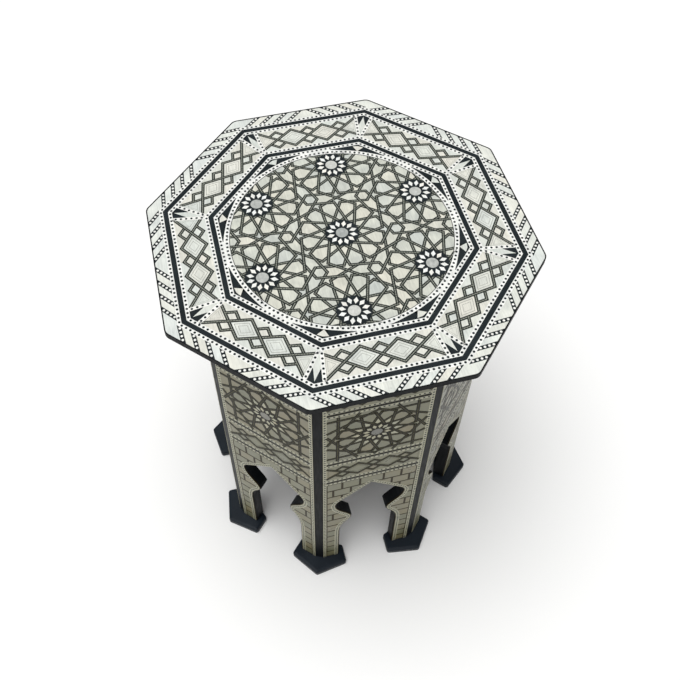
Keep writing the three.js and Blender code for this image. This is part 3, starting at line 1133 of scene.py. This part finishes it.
@dataclass
class BorderMarquetry(Marquetry):
    """The pale border of the top with its slanted dotted bars."""

    bar_count: int = 4
    bar_width: float = 3.9 * MM
    bar_pitch: float = 14.8 * MM
    bar_foot: float = 17.6 * MM
    bar_head: float = 5.2 * MM
    bar_shift: float = 3.0 * MM
    bar_dot: float = 2.4 * MM
    bar_dot_pitch: float = 4.2 * MM
    corner_radius: float = 8.0 * MM
    corner_points: int = 5

    def build(self, inner: float, outer: float) -> None:
        """Lays the shell between the bars, then bars and dots.

        Along the border a bar takes up its width times its slant length over the
        border's width.

        Args:
            inner: the border's inner reach.
            outer: its outer reach.
        """
        steps = self.bar_pitch * np.arange(self.bar_count)
        feet, heads = (
            np.outer((1.0, -1.0), start + steps).ravel() + self.bar_shift
            for start in (self.bar_foot, self.bar_head)
        )
        slant = np.hypot(self.bar_foot - self.bar_head, outer - inner) / (outer - inner)
        half = self.bar_width / 2 * slant
        bars = slanted((feet - half, feet + half, heads + half, heads - half), inner, outer)
        feet, heads = np.sort(feet), np.sort(heads)
        shell = self.inlay("border_shell", BORDER)
        shell.vary(slanted((feet[:-1], feet[1:], heads[1:], heads[:-1]), inner, outer))
        angles = np.linspace(0.0, TURN / 2, self.corner_points)
        centre = (outer - self.corner_radius) * np.array([TAN_HALF, 1.0])
        arc = centre + self.corner_radius * np.stack([np.sin(angles), np.cos(angles)], -1)
        corner = np.concatenate([[(inner * TAN_HALF, inner)], arc[::-1]])
        right = np.concatenate([corner, [(heads[-1], outer), (feet[-1], inner)]])
        left = np.concatenate([corner * LEFT_RIGHT, [(heads[0], outer), (feet[0], inner)]])
        self.lay_ends(shell, right, left)
        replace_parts(shell.build(), "top_border_inlay")
        self.inlay("border_bars", EBONY).lay(bars, Level.STRIP).build()
        middles = bars.reshape(-1, 2, 2, 2).mean(2)
        places = np.concatenate([dots_along(line, self.bar_dot_pitch) for line in middles])
        self.inlay("border_bar_dots", BONE).lay(dots(places, self.bar_dot), Level.STRAP).build()


@dataclass
class LozengeMarquetry(Marquetry):
    """The lozenge band of the top with its end strips and corner kites."""

    chain: LozengeChain = LozengeChain()
    strap: Strap = Strap()
    stringing: Stringing = Stringing()
    end_foot: float = 48.6 * MM
    end_head: float = 52.9 * MM
    petal_tip: float = 2.2 * MM
    petal_waist: float = 14.4 * MM
    petal_half: float = 3.1 * MM
    petal_tones: float = 0.3
    black_foot: float = 14.6 * MM
    black_spread: float = 1.35

    def build(self, inner: float, outer: float, corners: Bed) -> None:
        """Lays the cells, straps, end strips and kites of the eight fields.

        Args:
            inner: the field's inner reach.
            outer: its outer reach.
            corners: the eight corners' beds.
        """
        shell, lines = self.inlay("lozenge_shell", BAND_SHELL), self.inlay("lozenge_lines", LINE)
        work = StrapWork(self, "lozenge", self.strap)
        middle, half = (outer + inner) / 2, (outer - inner) / 2
        self.chain.lay(shell, lines, work, middle, self.end_foot, self.end_head, half)
        kite = np.array([
            (self.end_foot, inner), (inner * TAN_HALF, inner),
            (outer * TAN_HALF, outer), (self.end_head, outer),
        ])
        self.lay_ends(shell, kite, kite * LEFT_RIGHT)
        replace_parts(shell.build(), "top_lozenge_inlay")
        lines.build()
        work.build()
        self.build_kites(inner, outer, corners)

    def build_kites(self, inner: float, outer: float, corners: Bed) -> None:
        """Lays the dotted end strips, and the black tips and petal between two of them.

        Args:
            inner: the field's inner reach.
            outer: its outer reach.
            corners: the eight corners' beds.
        """
        line = np.array([(self.end_foot, inner), (self.end_head, outer)])
        strips = ribbons(mirrored(line[None]), self.stringing.width)
        self.inlay("lozenge_end_strips", BONE).lay(strips, Level.OVER_LINE).build()
        marks = self.inlay("lozenge_end_dots", EBONY)
        marks.lay(mirrored(self.stringing.dots(line)), Level.DISC)
        tip = outer / COS_HALF
        gap = (outer * TAN_HALF - self.end_head) * COS_HALF
        waist = (self.petal_half, tip - self.petal_waist)
        black = np.array([
            (0.0, tip), (gap, tip - gap * TAN_HALF),
            (self.petal_half * self.black_spread, tip - self.black_foot),
            waist, (0.0, tip - self.petal_tip),
        ])
        marks.lay(mirrored(black[None]), Level.STRIP, bed=corners).build()
        petal = np.array([(0.0, tip - self.petal_tip), waist, (0.0, inner / COS_HALF), waist * LEFT_RIGHT])
        tones = self.shop.tones(SIDES) * self.petal_tones
        self.inlay("corner_petals", BAND_SHELL).lay(petal[None], Level.STRIP, tones, corners).build()


@dataclass
class SpandrelMarquetry(Marquetry):
    """The black corners between the inner band and the ring, each with a pearl kite."""

    kite_half: float = 5.3 * MM
    kite_tip_gap: float = 2.2 * MM
    kite_side_gap: float = 3.3 * MM
    taper_start: float = 15.0 * MM
    taper_lift: float = 1.0 * MM
    tuck: float = 1.0 * MM
    points: int = 12

    def build(self, outer: float, ring: float, corners: Bed) -> None:
        """Lays ground, slivers and kites.

        A sliver's lower edge is root(ring^2 - x^2) plus a lift that dies away towards
        the corner, so the sliver ends in a point.

        Args:
            outer: inner reach of the strip round the spandrels.
            ring: outer radius of the ring.
            corners: the eight corners' beds.
        """
        corner = outer * TAN_HALF
        along = np.linspace(-corner, corner, 2 * self.points)
        low = np.stack([along, np.sqrt(np.maximum((ring - self.tuck) ** 2 - along**2, 0.0))], -1)
        ground = np.concatenate([low, [(corner, outer), (-corner, outer)]])
        piece = self.inlay("spandrel_ground", BONE).lay(ground[None], Level.GROUND, BONE_TONE).build()
        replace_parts(piece, "top_spandrel_inlay")
        along = np.linspace(self.taper_start, corner, self.points)
        fade = 1 - (along - self.taper_start) / (corner - self.taper_start)
        lift = self.taper_lift * fade - self.tuck * (1 - fade)
        low = np.stack([along, np.sqrt(ring**2 - along**2) + lift], -1)
        sliver = np.concatenate([low, [(corner, outer), (self.taper_start, outer)]])
        self.inlay("spandrel_ebony", EBONY).lay(mirrored(sliver[None]), Level.CELL).build()
        tip = outer / COS_HALF
        side = (self.kite_half, tip - self.kite_side_gap)
        kite = np.array([(0.0, tip - self.kite_tip_gap), side, (0.0, ring), side * LEFT_RIGHT])
        self.inlay("spandrel_kites", BAND_SHELL).vary(kite[None], Level.STRIP, corners).build()


@dataclass
class MedallionMarquetry(Marquetry):
    """The round field of stars: tesserae, straps, rosettes and the dotted ring."""

    star: Star = Star()
    strap: Strap = Strap()
    stringing: Stringing = Stringing()
    grid_steps: int = 2
    grid_reach: float = 2.1
    rim: float = 0.6 * MM
    ring_steps: int = 96

    def centres(self) -> np.ndarray:
        """The nineteen nearest points of the triangular grid of stars.

        Returns:
            Points of shape (19, 2).
        """
        steps = np.arange(-self.grid_steps, self.grid_steps + 1)
        first, second = np.meshgrid(steps, steps)
        grid = np.stack([first + second / 2, second * np.sqrt(3) / 2], -1).reshape(-1, 2)
        return self.star.spacing * grid[np.linalg.norm(grid, axis=1) < self.grid_reach]

    def knots(self) -> tuple[np.ndarray, np.ndarray]:
        """Hexagons and shields between three stars, worked out once for each shared edge.

        Returns:
            Hexagons (2, 6, 2) and shields (6, 6, 2) of one star.
        """
        star = self.star
        gap, half = star.knot_radius, star.spacing / 2
        valley = star.foot_radius / np.cos(star.step / 2)
        hexagons = [
            polar(star.spacing / np.sqrt(3), turn) + polar(gap, np.pi / 3 * np.arange(6) + np.pi / 6)
            for turn in (np.pi / 6, np.pi / 2)
        ]
        shields = []
        for edge in (0.0, np.pi / 3, 2 * np.pi / 3):
            other = polar(star.spacing, edge)
            for hand in (1.0, -1.0):
                half_step, step = hand * star.step / 2, hand * star.step
                middle = polar(star.spacing / np.sqrt(3), edge + step)
                shields.append([
                    polar(valley, edge + half_step), polar(half, edge),
                    other + polar(valley, edge + np.pi - half_step),
                    other + polar(half, edge + np.pi - step),
                    middle + polar(gap, edge - hand * np.pi / 2),
                    polar(half, edge + step),
                ])
        return np.array(hexagons), np.array(shields)

    def build(self, ring: float, reach: float) -> None:
        """Lays tesserae, straps, rosettes and the ring.

        Args:
            ring: outer radius of the ring.
            reach: its inner radius.
        """
        edge, centres = (ring + reach) / 2, self.centres()
        shell = self.inlay("medallion_shell", SHELL)
        for outlines in (*self.star.cells().values(), *self.knots()):
            shell.vary(within_circle(repeated(outlines, centres), edge))
        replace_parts(shell.build(), "top_medallion_field")
        self.build_straps(edge, centres)
        near = centres[np.linalg.norm(centres, axis=1) < edge]
        petals = self.star.lay_rosettes(self, "rosette", (EBONY, BONE, BOSS), near, edge)
        shells = [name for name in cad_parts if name.startswith("medallion_rosette")]
        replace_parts(petals, *shells)
        self.build_ring(ring, reach)

    def build_straps(self, edge: float, centres: np.ndarray) -> None:
        """Lays the straps of every star, the left-handed ones over the others.

        A strap on an odd radius ends where it meets the next star's, halfway. The others
        run on to the knot and overrun its corner by half the width times tan 30 degrees.

        Args:
            edge: radius of the circle that cuts off the straps.
            centres: the stars' middles, shape (n, 2).
        """
        star = self.star
        shared = np.tile(np.arange(star.rays) % 2 == 1, 2)
        reach = star.spacing / 4 + np.where(shared, 0.0, star.knot_radius)
        inner, outer = np.split(star.strap_lines(reach, self.strap.width), 2)
        way = outer[:, 1] - outer[:, 0]
        way /= np.linalg.norm(way, axis=1, keepdims=True)
        overrun = self.strap.width / 2 * np.tan(np.pi / 6)
        outer[:, 1] += np.where(shared[:, None], 0.0, overrun) * way
        lines = np.concatenate([inner, outer])
        work = StrapWork(self, "medallion", self.strap)
        for over in (True, False):
            work.lay(clipped_to_circle(repeated(lines[star.left_hand == over], centres), edge), over)
        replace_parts(work.build(), "top_strapwork")

    def hoop(self, outer: float, inner: float) -> np.ndarray:
        """Four-cornered slips between two circles.

        Args:
            outer: radius of the outer circle.
            inner: radius of the inner one.

        Returns:
            Outlines of shape (steps, 4, 2).
        """
        angles = 2 * np.pi * np.arange(self.ring_steps + 1) / self.ring_steps
        near, far = polar(inner, angles), polar(outer, angles)
        return np.stack([near[:-1], near[1:], far[1:], far[:-1]], 1)

    def build_ring(self, ring: float, reach: float) -> None:
        """Lays the bone ring, the dark line inside it and its dots.

        Args:
            ring: the ring's outer radius.
            reach: its inner radius.
        """
        bone = self.inlay("medallion_ring_bone", BONE)
        bone.lay(self.hoop(ring, reach), Level.OVER_LINE, BONE_TONE)
        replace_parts(bone.build(), "top_medallion_ring")
        self.inlay("medallion_rim", STRAP).lay(self.hoop(reach, reach - self.rim), Level.OVER).build()
        radius = (ring + reach) / 2
        count = round(2 * np.pi * radius / self.stringing.pitch)
        places = polar(radius, 2 * np.pi * np.arange(count) / count)
        marks = self.inlay("medallion_ring_dots", EBONY)
        marks.lay(dots(places, self.stringing.dot), Level.DISC).build()


@dataclass
class TopMarquetry(Marquetry):
    """All the marquetry of the top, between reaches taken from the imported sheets."""

    stringing: Stringing = Stringing()
    joint: float = 0.15 * MM
    medallion_turn: float = np.pi / 2 + TURN / 2

    def reach_of(self, name: str) -> float:
        """How far a packed sheet reaches along the axes."""
        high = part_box(name)[1]
        return max(high.x, high.y)

    def build(self) -> None:
        """Builds the parts from the rim to the middle."""
        border, outer, inner = map(self.reach_of, ("top_border_inlay", "top_outer_band", "top_inner_band"))
        lozenges, spandrels, reach = (
            self.reach_of(name) + self.joint
            for name in ("top_lozenge_inlay", "top_spandrel_inlay", "top_medallion_field")
        )
        ring, strip = self.reach_of("top_medallion_ring"), self.stringing.width
        corners = top_bed(TURN / 2)
        BorderMarquetry(self.shop, self.bed).build(outer + strip, border)
        LozengeMarquetry(self.shop, self.bed).build(inner + strip, lozenges - strip, corners)
        SpandrelMarquetry(self.shop, self.bed).build(spandrels - strip, ring, corners)
        MedallionMarquetry(self.shop, top_bed(self.medallion_turn, 1)).build(ring, reach)
        bone, marks = self.inlay("band_stringing", BONE), self.inlay("band_stringing_dots", EBONY)
        for start in (outer, lozenges - strip, inner, spandrels - strip):
            bone.lay(mitred_strip(start, start + strip), Level.OVER, BONE_TONE)
            middle = start + strip / 2
            line = np.array([(-middle * TAN_HALF, middle), (middle * TAN_HALF, middle)])
            marks.lay(self.stringing.dots(line), Level.OVER_LINE)
        bone.build()
        marks.build()


@dataclass
class SideMarquetry(Marquetry):
    """The marquetry of the eight sides: star, lozenge bands, brickwork and stringing, mostly in darkened
    finishes that paint in the sides' shade.
    """

    star: Star = Star()
    chain: LozengeChain = LozengeChain(line_shares=((0.66, 0.62),))
    strap: Strap = Strap(width=3.5 * MM)
    stringing: Stringing = Stringing(3.6 * MM, 2.3 * MM, 4.65 * MM)
    arch_stringing: Stringing = Stringing(4.2 * MM, 2.3 * MM, 3.8 * MM)
    face_half: float = 52.8 * MM
    star_height: float = 320.2 * MM
    line_heights: tuple = (226.6 * MM, 269.2 * MM, 371.2 * MM, 413.8 * MM)
    line_width: float = 4.1 * MM
    course: float = 16.2 * MM
    brick: float = 19.3 * MM
    joint: float = 2.5 * MM
    joint_shares: tuple = (2 / 3, 1 / 6)
    whole_below: float = 118.0 * MM
    arch_margin: float = 0.9 * MM
    apex_slope: float = 0.5
    skin: float = 0.2 * MM
    near: float = 0.5 * MM
    flank: float = 2.0 * MM
    sliver: float = 0.3 * MM
    samples: int = 9
    straight: float = 0.01

    @property
    def inner(self) -> float:
        """Half the width between the upright strings."""
        return self.face_half - self.stringing.width

    @property
    def spare(self) -> float:
        """Half a black line and the string beside it."""
        return self.line_width / 2 + self.stringing.width

    def arch(self) -> np.ndarray:
        """The right half of a side's arch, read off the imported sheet's outer skin.

        The apex is the lowest point on the middle line, and points within the flank of
        the sheet's upright edge don't belong to the arch.

        Returns:
            Points (across, height) from the foot to the apex, shape (n, 2).
        """
        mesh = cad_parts["panel_inlay_1"].data
        points = np.zeros(3 * len(mesh.vertices))
        mesh.vertices.foreach_get("co", points)
        points = np.unique(points.reshape(-1, 3).round(6), axis=0)
        face = points[points[:, 0] > points[:, 0].max() - self.skin][:, 1:]
        above_foot = (np.abs(face[:, 0]) < MM) & (face[:, 1] > face[:, 1].min())
        apex = face[above_foot][:, 1].min()
        half = face[(face[:, 0] > -self.near) & (face[:, 1] < apex + self.near)]
        half = half[half[:, 0] < half[:, 0].max() - self.flank]
        return half[np.argsort(half[:, 1])]

    def build(self) -> None:
        """Builds the sides from the arch upwards."""
        low, high = (corner.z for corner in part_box("panel_inlay_1"))
        arch, inner, half_string = self.arch(), self.inner, self.stringing.width / 2
        bone, marks = self.inlay("side_stringing", SHADED_SIDE_BONE), self.inlay("side_stringing_dots", EBONY)
        upright = np.array([(inner + half_string, low), (inner + half_string, high)])
        self.stringing.lay(bone, marks, upright, (Level.STRIP, Level.DOT), True)
        black, reach = self.inlay("side_lines", SHADED_SIDE_STRAP), self.line_width / 2
        for height in self.line_heights:
            black.lay(upright_box(inner, height - reach, height + reach), Level.STRIP)
            for side in (1.0, -1.0):
                middle = height + side * (reach + half_string)
                line = np.array([(-inner, middle), (inner, middle)])
                self.stringing.lay(bone, marks, line, (Level.STRIP, Level.DOT))
        black.build()
        self.build_bricks(arch, low, high)
        self.build_bands()
        self.build_star()
        edge = self.inset_line(arch, self.arch_margin + self.arch_stringing.width / 2)
        self.arch_stringing.lay(bone, marks, edge, (Level.OVER, Level.OVER_LINE), True)
        bone.build()
        marks.build()

    def inset_line(self, arch: np.ndarray, inset: float) -> np.ndarray:
        """The arch's line moved into the panel: the right edge of a ribbon of twice the inset.

        Args:
            arch: right half of the arch, shape (n, 2).
            inset: how far its line is moved.

        Returns:
            Points of shape (n, 2), the last one on the middle line.
        """
        line = ribbons(arch[None], 2 * inset)[0, len(arch):][::-1]
        line[-1] = (0.0, line[-1, 1] + abs(line[-1, 0]) * self.apex_slope)
        return line

    def build_bricks(self, arch: np.ndarray, low: float, high: float) -> None:
        """Lays courses of bricks under the lowest line and over the highest.

        The upright joints of a course stand at (share + whole number) * brick on either
        side of the middle, and the share changes from course to course. Low on the legs
        a brick is as wide as the leg.

        Args:
            arch: right half of the arch.
            low: height of the sheet's foot.
            high: height of its head.
        """
        shell = self.inlay("side_bricks", SHADED_SIDE_SHELL)
        fields = ((low, self.line_heights[0] - self.spare), (self.line_heights[-1] + self.spare, high))
        for bottom, top in fields:
            count = max(1, round((top - bottom) / self.course))
            course = (top - bottom) / count
            for row in range(count):
                start = bottom + row * course + self.joint / 2
                heights = np.linspace(start, start + course - self.joint, self.samples)
                clear = np.interp(heights, arch[:, 1], arch[:, 0], right=0.0)
                clear = np.where(heights > arch[-1, 1], -1.0, clear + self.arch_margin)
                share = self.joint_shares[(count - 1 - row) % 2]
                right_half = (share + np.arange(round(self.inner / self.brick) + 1)) * self.brick
                if start < self.whole_below:
                    right_half = np.array([self.inner])
                joints = np.clip(np.concatenate([-right_half, right_half]), -self.inner, self.inner)
                joints = np.unique(joints)
                for begin, end in zip(joints[:-1] + self.joint / 2, joints[1:] - self.joint / 2):
                    self.lay_brick(shell, heights, clear, begin, end)
        shell.build()

    def lay_brick(
        self, shell: Inlay, heights: np.ndarray, clear: np.ndarray, begin: float, end: float
    ) -> None:
        """Lays one brick, cut off at the arch on the side that it belongs to.

        Its two ends are columns of points up its course, and a point is moved out to the
        arch's half-width at its height where it would lie in the opening. A brick that
        is narrower than a millimetre, or than two slivers after the cut, is left out.

        Args:
            shell: inlay for the bricks.
            heights: the columns' heights.
            clear: half-width of the opening at each height, below zero over the apex.
            begin: where the brick begins along the side.
            end: where it ends.
        """
        if end - begin < MM:
            return
        arched = clear.max() > 0
        pieces = [(begin, 0.0), (0.0, end)] if begin < 0 < end and arched else [(begin, end)]
        for first, last in pieces:
            left, right = np.full(len(heights), first), np.full(len(heights), last)
            if arched and first >= 0:
                left, right = np.maximum(left, clear), np.maximum(right, clear + self.sliver)
            elif arched:
                left, right = np.minimum(left, -clear - self.sliver), np.minimum(right, -clear)
            if np.max(right - left) >= 2 * self.sliver:
                ends = [np.stack([left, heights], -1), np.stack([right, heights], -1)[::-1]]
                shell.vary(np.concatenate(ends)[None])

    def build_bands(self) -> None:
        """Lays the two lozenge bands, under and over the star."""
        shell = self.inlay("side_lozenge_shell", SHADED_SIDE_SHELL)
        lines = self.inlay("side_lozenge_lines", SHADED_SIDE_DASH)
        work = StrapWork(self, "side_lozenge", self.strap, SHADED_SIDE_STRAP, SHADED_SIDE_DASH)
        for bottom, top in (self.line_heights[:2], self.line_heights[2:]):
            half = (top - bottom) / 2 - self.spare
            self.chain.lay(shell, lines, work, (top + bottom) / 2, self.inner, self.inner, half)
        shell.build()
        lines.build()
        work.build()

    def build_star(self) -> None:
        """Lays the star field: a plate, the star's cells, straps to the edges and a rosette.

        A strap runs on to the nearer of the field's edges, at (edge - bend) / direction
        along each axis. One that is square to an axis never meets its edges.
        """
        star, place = self.star, np.array([[0.0, self.star_height]])
        low, high = self.line_heights[1] + self.spare, self.line_heights[2] - self.spare
        below, above = np.array([[-self.inner, low], [self.inner, high]]) - place
        shell = self.inlay("side_star_shell", SHADED_SIDE_SHELL)
        shell.vary(upright_box(self.inner, low, high), Level.GROUND)
        kites = self.inlay("side_star_kites", SHADED_SIDE_BONE)
        limit = np.minimum(-below, above)
        for name, outlines in star.cells().items():
            cells = kites if name == "kites" else shell
            cells.vary(np.clip(outlines, -limit, limit) + place)
        shell.build()
        kites.build()
        bend, across = star.local(star.foot_radius, star.bend_offset), star.local(0.0, 1.0)
        square = np.abs(across) < self.straight
        safe = np.where(square, 1.0, across)
        far = np.where(square, 1.0, np.maximum((below - bend) / safe, (above - bend) / safe))
        lines = star.strap_lines(far.min(1) + star.bend_offset, self.strap.width)
        work = StrapWork(self, "side_star", self.strap, SHADED_SIDE_STRAP, SHADED_SIDE_DASH)
        for over in (True, False):
            work.lay(lines[star.left_hand == over] + place, over)
        work.build()
        star.lay_rosettes(self, "side_rosette", (SHADED_SIDE_STRAP, SHADED_SIDE_BONE, SHADED_SIDE_BOSS), place)


@dataclass(frozen=True)
class Carcass:
    """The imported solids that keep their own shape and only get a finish."""

    finishes: tuple = (
        ("top_board", LACQUER), ("top_outer_band", EBONY), ("top_inner_band", EBONY),
        ("side_panel", LACQUER), ("panel_inlay", MASTIC), ("corner_post", LACQUER),
        ("foot", SHEEN_FOOT_LACQUER), ("corner_block", BARE), ("top_frame", BARE),
    )

    def dress(self, shop: Workshop) -> None:
        """Coats every node whose name starts with one of the names.

        Args:
            shop: workshop that makes the materials.
        """
        for name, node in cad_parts.items():
            for start, finish in self.finishes:
                if name.startswith(start):
                    shop.coat(node, finish)
                    log.info("%s: %s", name, finish.name)


@dataclass(frozen=True)
class PhotoCamera:
    """The camera at the photograph's viewing angle; pixel values are for a 680 pixel frame."""

    place: tuple = (-134.2 * MM, -483.7 * MM, 1041.6 * MM)
    forward: tuple = (0.1488, 0.5948, -0.79)
    roll: float = np.radians(0.2)
    focal_pixels: float = 839.0
    centre_pixels: tuple = (328.0, 269.0)
    frame_pixels: float = 680.0
    sensor_mm: float = 36.0
    nearest: float = 10.0 * MM

    def build(self) -> None:
        """Makes the camera, with lens = focal pixels * sensor width / frame pixels.

        Each shift is the distance from the optical centre to the frame's middle over the
        frame's size. Pixels count downwards, so the upright one has the other sign.
        """
        data = bpy.data.cameras.new("photo_camera")
        data.sensor_width = self.sensor_mm
        data.lens = self.focal_pixels * self.sensor_mm / self.frame_pixels
        middle = self.frame_pixels / 2
        data.shift_x = (middle - self.centre_pixels[0]) / self.frame_pixels
        data.shift_y = (self.centre_pixels[1] - middle) / self.frame_pixels
        data.clip_start = self.nearest
        camera = bpy.data.objects.new("photo_camera", data)
        bpy.context.scene.collection.objects.link(camera)
        turn = Vector(self.forward).to_track_quat("-Z", "Y").to_matrix().to_4x4()
        camera.matrix_world = Matrix.Translation(self.place) @ turn @ Matrix.Rotation(self.roll, 4, "Z")
        bpy.context.scene.camera = camera


@dataclass(frozen=True)
class Studio:
    """Pale floor, an even sky, a wide soft light overhead and a weak box in front."""

    floor_half: float = 6.0
    sky: tuple = (1.0, 1.0, 1.0, 1.0)
    sky_strength: float = 0.32
    overhead_from: tuple = (-0.16, -0.02, 1.0)
    overhead_strength: float = 2.6
    overhead_angle: float = np.radians(48)
    box_place: tuple = (-1.6, -1.7, 1.3)
    box_size: float = 1.2
    box_power: float = 4.0
    aim: tuple = (0.0, 0.0, 0.3)

    def build(self, shop: Workshop) -> None:
        """Makes floor, sky and the two lights.

        Args:
            shop: workshop that makes the floor's material.
        """
        mesh = bpy.data.meshes.new("studio_floor")
        half = self.floor_half
        corners = [(-half, -half, 0), (half, -half, 0), (half, half, 0), (-half, half, 0)]
        mesh.from_pydata(corners, [], [(0, 1, 2, 3)])
        floor = bpy.data.objects.new("studio_floor", mesh)
        bpy.context.scene.collection.objects.link(floor)
        shop.coat(floor, Backdrop())
        floor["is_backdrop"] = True
        world = bpy.data.worlds.new("studio_sky")
        world.use_nodes = True
        background = world.node_tree.nodes["Background"]
        background.inputs[0].default_value = self.sky
        background.inputs[1].default_value = self.sky_strength
        bpy.context.scene.world = world
        overhead = bpy.data.lights.new("overhead", "SUN")
        overhead.energy, overhead.angle = self.overhead_strength, self.overhead_angle
        self.hang(overhead, Vector(self.overhead_from), Vector((0.0, 0.0, 0.0)))
        box = bpy.data.lights.new("front_box", "AREA")
        box.shape, box.size, box.energy = "DISK", self.box_size, self.box_power
        self.hang(box, Vector(self.box_place), Vector(self.aim))
        bpy.context.scene.view_settings.view_transform = "Standard"

    def hang(self, light: bpy.types.Light, place: Vector, aim: Vector) -> None:
        """Puts a light at a place, with its beam towards the aim.

        Args:
            light: the light.
            place: where it hangs.
            aim: what it points at.
        """
        lamp = bpy.data.objects.new(light.name, light)
        lamp.location = place
        lamp.rotation_euler = (aim - place).to_track_quat("-Z", "Y").to_euler()
        bpy.context.scene.collection.objects.link(lamp)


def corners(box: tuple) -> list[list[float]]:
    """Lowest and highest corner as plain lists."""
    return [list(corner) for corner in box]


def main() -> None:
    """Builds camera, studio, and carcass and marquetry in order."""
    logging.basicConfig(level=logging.INFO, format="%(name)s %(message)s")
    cad_box = corners(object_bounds())
    shop = Workshop()
    PhotoCamera().build()
    Studio().build(shop)
    Carcass().dress(shop)
    TopMarquetry(shop, top_bed()).build()
    SideMarquetry(shop, side_bed()).build()
    {"cad": cad_box, "visual": corners(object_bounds())}


if __name__ == "__main__":
    main()
